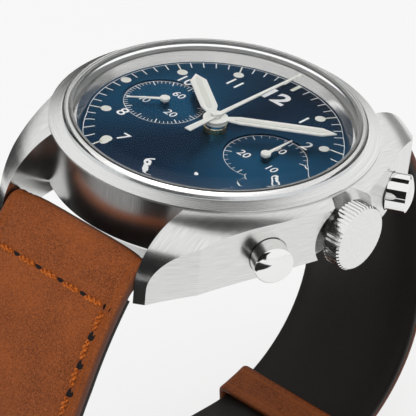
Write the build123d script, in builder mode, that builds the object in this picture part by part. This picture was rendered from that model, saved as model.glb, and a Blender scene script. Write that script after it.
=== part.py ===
from build123d import *
import os
from math import acos, asin, atan2, cos, degrees, hypot, radians, sin, sqrt

# A hand-wound pilot watch with two counters, standing on its closed leather strap. Lengths are in
# millimetres. +Z is the dial's normal, +X points to 3 o'clock and +Y to 12 o'clock. The origin lies
# under the hand axis, on the plane that the strap stands on. Heights and depths of the watch are
# taken from the dial's top face unless a comment says otherwise.

# Strap loop, seen from 3 o'clock
loop_depth = 49.5
loop_half_width = 31.0
corner_radius = 15.8
strap_thickness = 2.3
lining_thickness = 0.8
strap_side_gap = 0.15
strap_taper = 1.1
taper_start_depth = 16.0
taper_end_depth = 36.0
nose_radius = 2.1
layer_gap = 0.25
lining_start_angle = 5.5
tail_angle = 40.0
tail_corner_radius = 6.0
bend_start_y = 14.7
bend_end_y = 5.2

# Keepers
keeper_wall = 0.8
keeper_gap = 0.2
keeper_length = 5.0
fixed_keeper_y = 2.0
free_keeper_angle = 17.3

# Buckle
bar_y = -3.2
bar_radius = 0.6
pin_clearance = 0.05
rail_gap = 0.35
rail_width = 1.4
front_bar_y = -16.2
front_bar_length = 3.0
front_bar_gap = 0.35
front_bar_edge_radius = 0.7
boss_radius = 1.3
tongue_half_width = 1.0
tongue_thickness = 1.1
tongue_ring_radius = 1.25
tongue_foot_height = 0.2
tongue_end_length = 0.3
tongue_side_gap = 0.3
tongue_knee_y = -14.1
strap_slot_start_y = -4.0
strap_slot_end_y = -11.6
eye_slot_end_y = -1.5

# Case band and lugs. Widths, setbacks and lengths here are taken from case_radius, from the inner
# face of a lug or from the spring bar, so that the case keeps its form at another size.
case_radius = 19.0
case_top = 1.67
case_depth = 5.2
case_bevel_width = 0.8
case_bevel_depth = 4.46
lug_width = 20.5
flank_width = 1.35
guard_half_width = 3.4
shoulder_setback = 0.5
shoulder_y = 9.1
left_shoulder_setback = 2.4
left_shoulder_y = 9.2
lug_waist_width = 4.5
left_lug_waist_width = 3.65
lug_bend_width = 2.85
left_lug_bend_width = 2.65
lug_end_width = 0.6
waist_length = 3.6
left_waist_length = 3.9
lug_bend_length = 1.3
lug_end_length = 2.1
top_start_width = 1.8
top_start_height = 1.8
lug_tip_length = 6.35
lug_drop = 7.4
flank_depth = 4.98
lug_tip_depth = 7.7
underside_end_gap = 0.4
movement_wall = 3.55
back_bore_step = 0.5
back_bore_depth = 3.6
back_recess_width = 2.0
neck_setback = 2.0
neck_wall = 0.6
neck_top = 2.0
seat_gap = 0.03
overrun = 5.0

# Spring bars
spring_bar_length = 2.5
spring_bar_depth = 5.1
spring_bar_radius = 0.75
spring_bar_tip_radius = 0.4
spring_bar_tip_length = 0.9
lug_hole_radius = 0.45

# Bezel, crystal and what seals them
bezel_edge_height = 1.88
bezel_edge_chamfer = 0.1
bezel_band_width = 1.4
bezel_band_height = 2.34
bezel_step_width = 0.5
bezel_step_height = 2.43
bezel_lip_width = 0.35
bezel_lip_foot = 2.47
bezel_lip_height = 2.62
crystal_gasket_wall = 0.35
crystal_wall = 1.05
crystal_seat = 1.2
crystal_edge_height = 3.08
crystal_chamfer_width = 0.35
crystal_chamfer_height = 3.33
crystal_top = 4.0
crystal_underside_top = 2.4
crystal_corner_width = 0.3
crystal_underside_edge = 1.85
crystal_corner_height = 1.55
crystal_gasket_top = 2.45

# Case back
back_radius_gap = 0.4
back_flange_depth = 6.3
back_taper_width = 1.7
back_taper_depth = 8.8
back_face_width = 0.6
back_depth = 9.2
back_skirt_wall = 0.8
back_skirt_top_gap = 0.1
back_floor = 1.0
back_gasket_width = 0.4
back_gasket_height = 0.35
notch_count = 6
notch_width = 3.0
notch_length = 0.9
notch_height = 0.7

# Dial and flange
dial_edge_gap = 0.1
dial_thickness = 0.4
dial_hole_radius = 1.4
counter_place_share = 0.5075
counter_size_share = 0.3225
counter_sink_depth = 0.15
counter_hole_radius = 0.32
flange_foot_width = 0.3
flange_top_width = 0.25

# Hands: angles are clockwise from 12 o'clock, and length shares are of the dial's radius
hand_thickness = 0.15
hour_angle = 304.5
hour_length_share = 0.681
hour_half_width = 0.97
hour_hand_height = 0.95
minute_angle = 54.6
minute_length_share = 0.9017
minute_half_width = 0.8
minute_hand_height = 1.3
hand_boss_radius = 1.45
chrono_angle = 0.0
chrono_length_share = 0.951
chrono_tail_length = 4.7
chrono_tail_half_width = 0.44
chrono_neck_half_width = 0.3
chrono_tip_half_width = 0.16
chrono_hand_height = 1.58
chrono_hand_thickness = 0.12
chrono_hub_radius = 0.55
chrono_hub_foot = 1.5
chrono_hub_top = 2.02
small_seconds_angle = 226.0
minute_counter_angle = 0.0
counter_hand_end_gap = 0.55
counter_hand_half_width = 0.24
counter_hand_tip_half_width = 0.08
counter_hand_height = 0.3
counter_hand_thickness = 0.1
counter_hub_radius = 0.58
counter_hub_foot = 0.2
counter_hub_top = 0.5
hour_outline_shares = [(0.20, 0.62), (0.30, 1.0), (0.855, 1.0)]
minute_outline_shares = [(0.075, 0.42), (0.145, 0.72), (0.2, 0.94), (0.69, 1.0), (0.88, 1.0)]

# What carries the hands
hour_tube_radius = 1.3
hour_tube_bore = 0.63
hour_tube_top = 0.5
hour_wheel_radius = 2.5
hour_wheel_thickness = 0.25
hour_wheel_depth = 0.75
hour_collet_radius = 1.25
cannon_radius = 0.58
cannon_bore = 0.3
cannon_top = 1.15
cannon_depth = 1.3
minute_collet_radius = 0.9
chrono_arbor_radius = 0.25
chrono_arbor_depth = 2.2
counter_arbor_radius = 0.2
counter_arbor_depth = 1.6

# Movement: places and sizes given as shares are of the movement's radius
movement_ring_wall = 2.1
movement_ring_depth = 3.5
movement_gap = 0.05
plate_depth = 4.4
wheel_recess_radius = 2.8
wheel_recess_depth = 1.1
bridge_depth = 6.8
bridge_thickness = 0.6
bridge_edge_gap = 0.8
bridge_edge_y = -1.0
pillar_radius = 1.2
pillar_count = 3
barrel_place_share = (-0.3383, 0.4135)
barrel_size_share = 0.376
barrel_top_depth = 4.7
barrel_height = 1.8
barrel_teeth = 36
barrel_tooth_depth = 0.35
barrel_tooth_gap_share = 0.5
pivot_radius = 0.4
pivot_depth = 0.5
balance_place_share = (0.3008, -0.5263)
balance_size_share = 0.3008
balance_rim = 0.5
balance_height = 0.5
balance_top_depth = 5.2
balance_arm_half_width = 0.3
staff_radius = 0.45
cock_half_width = 1.6
cock_place_share = (-0.2256, -0.7519)

# Crown and winding: lengths along the crown's axis, from the flank, the case or the movement
crown_depth = 2.85
crown_face_length = 2.05
crown_length = 2.1
crown_radius = 3.87
crown_ribs = 48
crown_rib_depth = 0.22
crown_rib_gap_share = 0.225
crown_chamfer = 0.2
crown_pocket_radius = 4.75
crown_back_gap = 1.2
crown_cavity_radius = 1.75
crown_face_wall = 0.8
crown_gasket_gap = 0.2
crown_gasket_length = 0.5
crown_tube_radius = 1.2
crown_tube_bore = 0.65
crown_tube_end_gap = 0.3
tube_start_gap = 0.15
stem_radius = 0.6
stem_inner_length = 4.3
pinion_inner_length = 2.7
pinion_length = 1.6
pinion_radius = 1.4
pinion_teeth = 12
pinion_tooth_depth = 0.3
pinion_tooth_gap_share = 0.25
stem_channel_radius = 0.8
pinion_gap = 0.2

# Pushers: lengths along a pusher's axis, from the case or from the cap's face
pusher_angles = {"start": 30.0, "reset": -30.0}
pusher_cap_radius = 2.2
pusher_face_length = 4.5
pusher_cap_length = 3.0
pusher_dome_height = 0.25
pusher_rim_width = 0.15
pusher_cavity_radius = 1.75
pusher_face_wall = 0.6
pusher_recess_radius = 2.3
pusher_recess_length = 0.4
pusher_stem_radius = 0.7
pusher_stem_inner_gap = 0.45
pusher_tube_radius = 1.2
pusher_tube_bore = 0.75
pusher_tube_end_gap = 2.5
pusher_slot_radius = 1.0
spring_radius = 1.48
spring_wire_width = 0.26
spring_turns = 4

# Case sizes worked out from the sizes above
lug_inside = lug_width / 2
spring_bar_y = case_radius + spring_bar_length
case_bevel_radius = case_radius - case_bevel_width
flank_x = case_radius + flank_width
shoulder_x = case_radius - shoulder_setback
left_shoulder_x = case_radius - left_shoulder_setback
waist_x = lug_inside + lug_waist_width
left_waist_x = lug_inside + left_lug_waist_width
lug_bend_x = lug_inside + lug_bend_width
left_lug_bend_x = lug_inside + left_lug_bend_width
lug_end_x = lug_inside + lug_end_width
waist_y = spring_bar_y - waist_length
left_waist_y = spring_bar_y - left_waist_length
lug_bend_y = spring_bar_y - lug_bend_length
lug_end_y = spring_bar_y + lug_end_length
lug_underside_span = lug_end_y + underside_end_gap
top_start_radius = case_radius - top_start_width
lug_tip_radius = case_radius + lug_tip_length
movement_bore = case_radius - movement_wall
back_bore = movement_bore + back_bore_step
back_recess_radius = case_radius - back_recess_width
neck_radius = case_radius - neck_setback
neck_bore = neck_radius - neck_wall
bezel_band_radius = case_radius - bezel_band_width
bezel_step_radius = neck_bore + bezel_step_width
bezel_lip_radius = neck_bore + bezel_lip_width
crystal_radius = neck_bore - crystal_gasket_wall
crystal_bore = crystal_radius - crystal_wall
crystal_chamfer_radius = crystal_radius - crystal_chamfer_width
crystal_underside_radius = crystal_bore - crystal_corner_width
back_radius = back_recess_radius - back_radius_gap
back_taper_radius = back_radius - back_taper_width
back_face_radius = back_taper_radius - back_face_width
back_gasket_radius = back_bore + back_gasket_width

# Dial, hands and movement worked out in the same way
dial_radius = movement_bore - dial_edge_gap
counter_x = dial_radius * counter_place_share
counter_radius = dial_radius * counter_size_share
flange_foot_radius = dial_radius - flange_foot_width
flange_top_radius = dial_radius + flange_top_width
hour_length = dial_radius * hour_length_share
minute_length = dial_radius * minute_length_share
chrono_length = dial_radius * chrono_length_share
counter_hand_length = counter_radius - counter_hand_end_gap
movement_ring_bore = movement_bore - movement_ring_wall
movement_radius = movement_ring_bore - movement_gap
bridge_radius = movement_radius - bridge_edge_gap
barrel_x, barrel_y = (movement_radius * share for share in barrel_place_share)
barrel_radius = movement_radius * barrel_size_share
balance_x, balance_y = (movement_radius * share for share in balance_place_share)
balance_radius = movement_radius * balance_size_share
cock_foot_x, cock_foot_y = (movement_radius * share for share in cock_place_share)

# Crown and pushers
crown_face_x = flank_x + crown_face_length
crown_back_x = crown_face_x - crown_length
crown_pocket_x = crown_back_x - crown_back_gap
crown_cavity_x = crown_face_x - crown_face_wall
crown_gasket_x = crown_back_x + crown_gasket_gap
crown_tube_start = back_bore + tube_start_gap
crown_tube_end = crown_cavity_x - crown_tube_end_gap
stem_start = movement_radius - stem_inner_length
pinion_x = movement_radius - pinion_inner_length
pusher_face = case_radius + pusher_face_length
pusher_back = pusher_face - pusher_cap_length
pusher_cavity_end = pusher_face - pusher_face_wall
pusher_recess_floor = case_radius + pusher_recess_length
pusher_stem_start = movement_bore - pusher_stem_inner_gap
pusher_tube_start = back_bore + tube_start_gap
pusher_tube_end = pusher_face - pusher_tube_end_gap

# Strap, buckle and heights
strap_half_width = lug_inside - strap_side_gap
strap_end_half_width = strap_half_width - strap_taper
outer_layer_depth = loop_depth + strap_thickness + layer_gap
dial_z = outer_layer_depth + strap_thickness + keeper_gap + keeper_wall
side_depth = loop_depth - corner_radius
corner_y = loop_half_width - corner_radius
fixed_half_width = strap_end_half_width + keeper_gap
bar_depth = loop_depth + strap_thickness / 2
tongue_level = dial_z - tongue_foot_height - tongue_thickness / 2

# Planes: the watch from 6 o'clock, the strap halves as (distance from the hand axis, height), the
# dial face, and planes square to the crown's and a pusher's axis
watch_side = Plane(origin=(0, 0, dial_z), x_dir=(1, 0, 0), z_dir=(0, -1, 0))
twelve_side = Plane(origin=(0, 0, dial_z), x_dir=(0, 1, 0), z_dir=(1, 0, 0))
six_side = Plane(origin=(0, 0, dial_z), x_dir=(0, -1, 0), z_dir=(-1, 0, 0))
dial_face = Plane.XY.offset(dial_z)
crown_plane = Plane(origin=(0, 0, dial_z - crown_depth), x_dir=(0, 1, 0), z_dir=(1, 0, 0))


def pusher_plane(angle):
    """The plane square to a pusher's axis, at the hand axis."""
    out = (cos(radians(angle)), sin(radians(angle)), 0)
    across = (-sin(radians(angle)), cos(radians(angle)), 0)
    return Plane(origin=(0, 0, dial_z - crown_depth), x_dir=across, z_dir=out)


def hand_plane(height, angle, x=0):
    """A plane above the dial whose x axis points along a hand."""
    along = (sin(radians(angle)), cos(radians(angle)), 0)
    return Plane(origin=(x, 0, dial_z + height), x_dir=along, z_dir=(0, 0, 1))


def turned(points, mode=Mode.ADD):
    """A body turned about the hand axis from (radius, height) points."""
    with BuildSketch(watch_side) as section:
        with BuildLine():
            Polyline(*points, close=True)
        make_face()
    revolve(section.sketch, axis=Axis.Z, mode=mode)


def rod(plane, radius, start, end, bore=0, mode=Mode.ADD):
    """A round bar or tube along a plane's normal, between two distances from the plane."""
    with BuildSketch(plane.offset(start)) as section:
        Circle(radius)
        if bore:
            Circle(bore, mode=Mode.SUBTRACT)
    extrude(section.sketch, amount=end - start, mode=mode)


def toothed(plane, radius, teeth, depth, gap_share, start, end):
    """A round bar with straight teeth or ribs cut along it."""
    gap = 2 * radius * sin(radians(180 / teeth)) * 2 * gap_share
    with BuildSketch(plane.offset(start)) as section:
        Circle(radius)
        with PolarLocations(radius, teeth):
            Rectangle(2 * depth, gap, mode=Mode.SUBTRACT)
    extrude(section.sketch, amount=end - start)


def dome(edge_radius, edge_height, top_height):
    """The arc of a dome's section, from its edge to the hand axis."""
    rise = top_height - edge_height
    sphere = (edge_radius**2 + rise**2) / (2 * rise)
    middle = edge_radius / 2
    middle_height = top_height - sphere + sqrt(sphere**2 - middle**2)
    ThreePointArc((edge_radius, edge_height), (middle, middle_height), (0, top_height))


def save(piece, name):
    """Label a finished piece and write it to its own file."""
    piece.part.label = name
    export_step(piece.part, f"parts/{name}.step")


os.makedirs("parts", exist_ok=True)

# Case band: the flank and the four lugs under a turned top and over an arched underside
with BuildPart() as case_middle:
    with BuildSketch(dial_face.offset(-lug_tip_depth - overrun)):
        with BuildLine():
            flank = Line((flank_x, 0), (flank_x, guard_half_width))
            guard = Line(flank @ 1, (shoulder_x, shoulder_y))
            side = Line(guard @ 1, (waist_x, waist_y))
            tip = ThreePointArc(side @ 1, (lug_bend_x, lug_bend_y), (lug_end_x, lug_end_y))
            Polyline(tip @ 1, (lug_inside, lug_end_y), (lug_inside, 0), flank @ 0)
        make_face()
        with BuildLine():
            left_side = Line((-left_shoulder_x, left_shoulder_y), (-left_waist_x, left_waist_y))
            left_bend = (-left_lug_bend_x, lug_bend_y)
            left_tip = ThreePointArc(left_side @ 1, left_bend, (-lug_end_x, lug_end_y))
            Polyline(left_tip @ 1, (-lug_inside, lug_end_y), (-lug_inside, left_shoulder_y), left_side @ 0)
        make_face()
        mirror(about=Plane.XZ)
    extrude(amount=lug_tip_depth + overrun + top_start_height)
    with BuildSketch(twelve_side):
        with BuildLine():
            underside = ThreePointArc(
                (-lug_underside_span, -lug_tip_depth),
                (0, -flank_depth),
                (lug_underside_span, -lug_tip_depth),
            )
            top_line = [(lug_underside_span, top_start_height), (-lug_underside_span, top_start_height)]
            Polyline(underside @ 1, *top_line, underside @ 0)
        make_face()
    extrude(amount=lug_tip_radius, both=True, mode=Mode.INTERSECT)
    with BuildSketch(watch_side) as top_section:
        with BuildLine():
            fall = EllipticalCenterArc(
                (top_start_radius, top_start_height - lug_drop),
                lug_tip_radius - top_start_radius,
                lug_drop,
                start_angle=0,
                arc_size=90,
            )
            foot = [(0, top_start_height), (0, -lug_tip_depth), (lug_tip_radius, -lug_tip_depth)]
            Polyline(fall @ 1, *foot, fall @ 0)
        make_face()
    revolve(axis=Axis.Z, mode=Mode.INTERSECT)
    turned(
        [
            (back_bore, -case_depth),
            (case_bevel_radius, -case_depth),
            (case_radius, -case_bevel_depth),
            (case_radius, case_top),
            (back_bore, case_top),
        ]
    )
    rod(dial_face, case_radius + overrun, case_top, top_start_height, mode=Mode.SUBTRACT)
    rod(dial_face, neck_radius, 0, neck_top)
    rod(dial_face, back_recess_radius, -lug_tip_depth, -case_depth, mode=Mode.SUBTRACT)
    rod(dial_face, movement_bore, -lug_tip_depth, 0, mode=Mode.SUBTRACT)
    rod(dial_face, back_bore, -lug_tip_depth, -back_bore_depth, mode=Mode.SUBTRACT)
    gasket_groove = back_gasket_height - case_depth
    rod(dial_face, back_gasket_radius, -lug_tip_depth, gasket_groove, mode=Mode.SUBTRACT)
    rod(dial_face, neck_bore, 0, neck_top, mode=Mode.SUBTRACT)
    rod(crown_plane, crown_pocket_radius, crown_pocket_x, crown_face_x, mode=Mode.SUBTRACT)
    rod(crown_plane, crown_tube_radius, movement_bore - overrun, crown_pocket_x, mode=Mode.SUBTRACT)
    for angle in pusher_angles.values():
        axis_plane = pusher_plane(angle)
        rod(axis_plane, pusher_recess_radius, pusher_recess_floor, pusher_face, mode=Mode.SUBTRACT)
        rod(axis_plane, pusher_tube_radius, movement_bore - overrun, pusher_face, mode=Mode.SUBTRACT)
    with BuildSketch(twelve_side):
        with Locations((spring_bar_y, -spring_bar_depth), (-spring_bar_y, -spring_bar_depth)):
            Circle(lug_hole_radius)
    hole_reach = lug_inside + spring_bar_tip_length + seat_gap
    extrude(amount=hole_reach, both=True, mode=Mode.SUBTRACT)
save(case_middle, "case_middle")

# Bezel: a brushed band that rises to a polished lip round the crystal
with BuildPart() as bezel:
    lip_middle = (bezel_lip_radius + neck_bore) / 2
    turned(
        [
            (neck_radius + seat_gap, case_top),
            (case_radius - bezel_edge_chamfer, case_top),
            (case_radius, case_top + bezel_edge_chamfer),
            (case_radius, bezel_edge_height),
            (bezel_band_radius, bezel_band_height),
            (bezel_step_radius, bezel_step_height),
            (bezel_lip_radius, bezel_lip_foot),
            (lip_middle, bezel_lip_height),
            (neck_bore, bezel_lip_height),
            (neck_bore, neck_top),
            (neck_radius + seat_gap, neck_top),
        ]
    )
save(bezel, "bezel")

with BuildPart() as crystal_gasket:
    gasket_outside = neck_bore - seat_gap
    rod(dial_face, gasket_outside, crystal_seat, crystal_gasket_top, bore=crystal_radius + seat_gap)
save(crystal_gasket, "crystal_gasket")

# Crystal: box type, with a low dome on an upright wall
with BuildPart() as crystal:
    with BuildSketch(watch_side):
        with BuildLine():
            outside = [
                (crystal_bore, crystal_seat),
                (crystal_radius, crystal_seat),
                (crystal_radius, crystal_edge_height),
                (crystal_chamfer_radius, crystal_chamfer_height),
            ]
            Polyline(*outside)
            dome(crystal_chamfer_radius, crystal_chamfer_height, crystal_top)
            Line((0, crystal_top), (0, crystal_underside_top))
            dome(crystal_underside_radius, crystal_underside_edge, crystal_underside_top)
            inside = [(crystal_bore, crystal_corner_height), (crystal_bore, crystal_seat)]
            Polyline((crystal_underside_radius, crystal_underside_edge), *inside)
        make_face()
    revolve(axis=Axis.Z)
save(crystal, "crystal")

# Case back: threaded skirt, flange with wrench notches, and a hollow that holds the movement
with BuildPart() as case_back:
    skirt_radius = back_bore - seat_gap
    skirt_inside = skirt_radius - back_skirt_wall
    skirt_top = -back_bore_depth - back_skirt_top_gap
    turned(
        [
            (0, -back_depth),
            (back_face_radius, -back_depth),
            (back_taper_radius, -back_taper_depth),
            (back_radius, -back_flange_depth),
            (back_radius, -case_depth),
            (skirt_radius, -case_depth),
            (skirt_radius, skirt_top),
            (skirt_inside, skirt_top),
            (skirt_inside, back_floor - back_depth),
            (0, back_floor - back_depth),
        ]
    )
    with BuildSketch(dial_face.offset(-back_flange_depth - notch_height)):
        with PolarLocations(back_radius, notch_count):
            Rectangle(2 * notch_length, notch_width)
    extrude(amount=2 * notch_height, mode=Mode.SUBTRACT)
save(case_back, "case_back")

with BuildPart() as case_back_gasket:
    gasket_foot = -case_depth
    gasket_bore = back_bore + seat_gap
    gasket_top = gasket_foot + back_gasket_height
    rod(dial_face, back_gasket_radius - seat_gap, gasket_foot, gasket_top, bore=gasket_bore)
save(case_back_gasket, "case_back_gasket")

# Dial with two sunken counters, and the sloping flange round it
with BuildPart() as dial:
    rod(dial_face, dial_radius, -dial_thickness, 0, bore=dial_hole_radius)
    with BuildSketch(dial_face):
        with Locations((counter_x, 0), (-counter_x, 0)):
            Circle(counter_radius)
    extrude(amount=-counter_sink_depth, mode=Mode.SUBTRACT)
    with BuildSketch(dial_face):
        with Locations((counter_x, 0), (-counter_x, 0)):
            Circle(counter_hole_radius)
    extrude(amount=-dial_thickness, mode=Mode.SUBTRACT)
save(dial, "dial")

with BuildPart() as dial_flange:
    flange_outside = neck_bore - seat_gap
    turned(
        [
            (flange_foot_radius, 0),
            (flange_outside, 0),
            (flange_outside, crystal_seat),
            (flange_top_radius, crystal_seat),
        ]
    )
save(dial_flange, "dial_flange")


def blade(length, half_width, shares):
    """The outline of a pointed hand, from shares of its length and half width."""
    edge = [(length * along, half_width * out) for along, out in shares]
    back_edge = [(x, -y) for x, y in reversed(edge)]
    with BuildLine() as outline:
        Polyline(*edge, (length, 0), *back_edge, close=True)
    return outline.line


def boss_and_blade(height, angle, length, half_width, shares, bore):
    """An hour or minute hand: a blade and its round boss, bored for what carries it."""
    with BuildSketch(hand_plane(height, angle)) as outline:
        make_face(blade(length, half_width, shares).edges())
        Rectangle(length * shares[0][0], 2 * half_width * shares[0][1], align=(Align.MIN, Align.CENTER))
        Circle(hand_boss_radius)
        Circle(bore, mode=Mode.SUBTRACT)
    extrude(outline.sketch, amount=hand_thickness)


# Hour hand on its collet and wheel
with BuildPart() as hour_hand:
    boss_and_blade(
        hour_hand_height, hour_angle, hour_length, hour_half_width, hour_outline_shares, hour_tube_bore
    )
save(hour_hand, "hour_hand")

with BuildPart() as hour_collet:
    rod(dial_face, hour_collet_radius, hour_tube_top, hour_hand_height, bore=hour_tube_bore)
save(hour_collet, "hour_collet")

with BuildPart() as hour_wheel:
    rod(dial_face, hour_tube_radius, -hour_wheel_depth, hour_tube_top)
    rod(dial_face, hour_wheel_radius, -hour_wheel_depth, hour_wheel_thickness - hour_wheel_depth)
    rod(dial_face, hour_tube_bore, -hour_wheel_depth, hour_tube_top, mode=Mode.SUBTRACT)
save(hour_wheel, "hour_wheel")

# Minute hand on its collet and the cannon pinion
with BuildPart() as minute_hand:
    boss_and_blade(
        minute_hand_height,
        minute_angle,
        minute_length,
        minute_half_width,
        minute_outline_shares,
        cannon_bore,
    )
save(minute_hand, "minute_hand")

with BuildPart() as minute_collet:
    rod(dial_face, minute_collet_radius, cannon_top, minute_hand_height, bore=cannon_bore)
save(minute_collet, "minute_collet")

with BuildPart() as cannon_pinion:
    rod(dial_face, cannon_radius, -cannon_depth, cannon_top, bore=cannon_bore)
save(cannon_pinion, "cannon_pinion")

# Chronograph seconds hand with its flat tail
with BuildPart() as chrono_seconds_hand:
    with BuildSketch(hand_plane(chrono_hand_height, chrono_angle)):
        with BuildLine():
            Polyline(
                (-chrono_tail_length, chrono_tail_half_width),
                (0, chrono_neck_half_width),
                (chrono_length, chrono_tip_half_width),
                (chrono_length, -chrono_tip_half_width),
                (0, -chrono_neck_half_width),
                (-chrono_tail_length, -chrono_tail_half_width),
                close=True,
            )
        make_face()
    extrude(amount=chrono_hand_thickness)
    rod(dial_face, chrono_hub_radius, chrono_hub_foot, chrono_hub_top)
    rod(dial_face, chrono_arbor_radius, chrono_hub_foot, chrono_hand_height, mode=Mode.SUBTRACT)
save(chrono_seconds_hand, "chrono_seconds_hand")

with BuildPart() as chrono_seconds_arbor:
    rod(dial_face, chrono_arbor_radius, -chrono_arbor_depth, chrono_hand_height)
save(chrono_seconds_arbor, "chrono_seconds_arbor")

# The two counters' hands and arbors
counters = {
    "small_seconds": (-counter_x, small_seconds_angle),
    "minute_counter": (counter_x, minute_counter_angle),
}
for counter_name, (x, angle) in counters.items():
    hub_plane = Plane(origin=(x, 0, dial_z))
    with BuildPart() as counter_hand:
        with BuildSketch(hand_plane(counter_hand_height, angle, x)):
            with BuildLine():
                Polyline(
                    (0, counter_hand_half_width),
                    (counter_hand_length, counter_hand_tip_half_width),
                    (counter_hand_length, -counter_hand_tip_half_width),
                    (0, -counter_hand_half_width),
                    close=True,
                )
            make_face()
        extrude(amount=counter_hand_thickness)
        rod(hub_plane, counter_hub_radius, counter_hub_foot, counter_hub_top)
        rod(hub_plane, counter_arbor_radius, counter_hub_foot, counter_hand_height, mode=Mode.SUBTRACT)
    save(counter_hand, f"{counter_name}_hand")
    with BuildPart() as counter_arbor:
        rod(hub_plane, counter_arbor_radius, -counter_arbor_depth, counter_hand_height)
    save(counter_arbor, f"{counter_name}_arbor")

# Movement: holding ring, main plate, bridge and cock, barrel and balance
with BuildPart() as movement_ring:
    ring_outside = movement_bore - seat_gap
    rod(dial_face, ring_outside, -movement_ring_depth, -dial_thickness, bore=movement_ring_bore)
    slot_start = movement_ring_bore - overrun
    rod(crown_plane, stem_channel_radius, slot_start, movement_bore, mode=Mode.SUBTRACT)
    for angle in pusher_angles.values():
        rod(pusher_plane(angle), pusher_slot_radius, slot_start, movement_bore, mode=Mode.SUBTRACT)
save(movement_ring, "movement_ring")

barrel_plane = Plane(origin=(barrel_x, barrel_y, dial_z))
balance_plane = Plane(origin=(balance_x, balance_y, dial_z))
cock_plane = Plane(origin=(cock_foot_x, cock_foot_y, dial_z))
pivot_hole = pivot_radius + pin_clearance
with BuildPart() as movement_plate:
    rod(dial_face, movement_radius, -plate_depth, -dial_thickness)
    rod(dial_face, wheel_recess_radius, -wheel_recess_depth, -dial_thickness, mode=Mode.SUBTRACT)
    rod(dial_face, cannon_radius + pin_clearance, -cannon_depth - layer_gap, 0, mode=Mode.SUBTRACT)
    arbor_hole = chrono_arbor_radius + pin_clearance
    rod(dial_face, arbor_hole, -chrono_arbor_depth - layer_gap, 0, mode=Mode.SUBTRACT)
    for x, _ in counters.values():
        small_hole = counter_arbor_radius + pin_clearance
        counter_plane = Plane(origin=(x, 0, dial_z))
        rod(counter_plane, small_hole, -counter_arbor_depth - layer_gap, 0, mode=Mode.SUBTRACT)
    rod(crown_plane, stem_channel_radius, stem_start - layer_gap, movement_radius, mode=Mode.SUBTRACT)
    window_half = pinion_radius + pinion_gap
    with BuildSketch(crown_plane.offset(pinion_x - pinion_gap)):
        Circle(window_half)
        Rectangle(2 * window_half, plate_depth, align=(Align.CENTER, Align.MAX))
    extrude(amount=pinion_length + 2 * pinion_gap, mode=Mode.SUBTRACT)
    for plane in (barrel_plane, balance_plane):
        rod(plane, pivot_hole, -plate_depth, pivot_depth - plate_depth, mode=Mode.SUBTRACT)
save(movement_plate, "movement_plate")

with BuildPart() as train_bridge:
    with BuildSketch(dial_face.offset(-bridge_depth - bridge_thickness)):
        Circle(bridge_radius)
        with Locations((0, bridge_edge_y)):
            below = (Align.CENTER, Align.MAX)
            Rectangle(2 * bridge_radius, 2 * bridge_radius, align=below, mode=Mode.SUBTRACT)
    extrude(amount=bridge_thickness)
    pillar_ring = bridge_radius - pillar_radius
    with BuildSketch(dial_face.offset(-bridge_depth)):
        with PolarLocations(pillar_ring, pillar_count, start_angle=0, angular_range=180, endpoint=True):
            Circle(pillar_radius)
    extrude(amount=bridge_depth - plate_depth)
    rod(barrel_plane, pivot_hole, -bridge_depth - bridge_thickness, -bridge_depth, mode=Mode.SUBTRACT)
save(train_bridge, "train_bridge")

with BuildPart() as balance_cock:
    reach = hypot(balance_x - cock_foot_x, balance_y - cock_foot_y)
    turn = degrees(atan2(balance_y - cock_foot_y, balance_x - cock_foot_x))
    cock_middle = ((balance_x + cock_foot_x) / 2, (balance_y + cock_foot_y) / 2)
    with BuildSketch(dial_face.offset(-bridge_depth - bridge_thickness)):
        with Locations(cock_middle):
            SlotCenterToCenter(reach, 2 * cock_half_width, rotation=turn)
    extrude(amount=bridge_thickness)
    rod(cock_plane, cock_half_width, -bridge_depth, -plate_depth)
    rod(balance_plane, pivot_hole, -bridge_depth - bridge_thickness, -bridge_depth, mode=Mode.SUBTRACT)
save(balance_cock, "balance_cock")

with BuildPart() as mainspring_barrel:
    barrel_bottom = -barrel_top_depth - barrel_height
    tooth_sizes = (barrel_teeth, barrel_tooth_depth, barrel_tooth_gap_share)
    toothed(barrel_plane, barrel_radius, *tooth_sizes, barrel_bottom, -barrel_top_depth)
    arbor_span = (pin_clearance - bridge_depth, -plate_depth - pin_clearance)
    rod(barrel_plane, pivot_radius + pin_clearance, *arbor_span)
    pivot_end = bridge_thickness / 2
    rod(barrel_plane, pivot_radius, -bridge_depth - pivot_end, -plate_depth + pivot_depth - pin_clearance)
save(mainspring_barrel, "mainspring_barrel")

with BuildPart() as balance_wheel:
    balance_bottom = -balance_top_depth - balance_height
    rod(balance_plane, balance_radius, balance_bottom, -balance_top_depth, bore=balance_radius - balance_rim)
    with BuildSketch(balance_plane.offset(balance_bottom)):
        Rectangle(2 * balance_radius - balance_rim, 2 * balance_arm_half_width)
        Rectangle(2 * balance_arm_half_width, 2 * balance_radius - balance_rim)
    extrude(amount=balance_height)
    rod(balance_plane, staff_radius, -bridge_depth + pin_clearance, -plate_depth - pin_clearance)
    rod(balance_plane, pivot_radius, -bridge_depth - pivot_end, -plate_depth + pivot_depth - pin_clearance)
save(balance_wheel, "balance_wheel")

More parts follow.
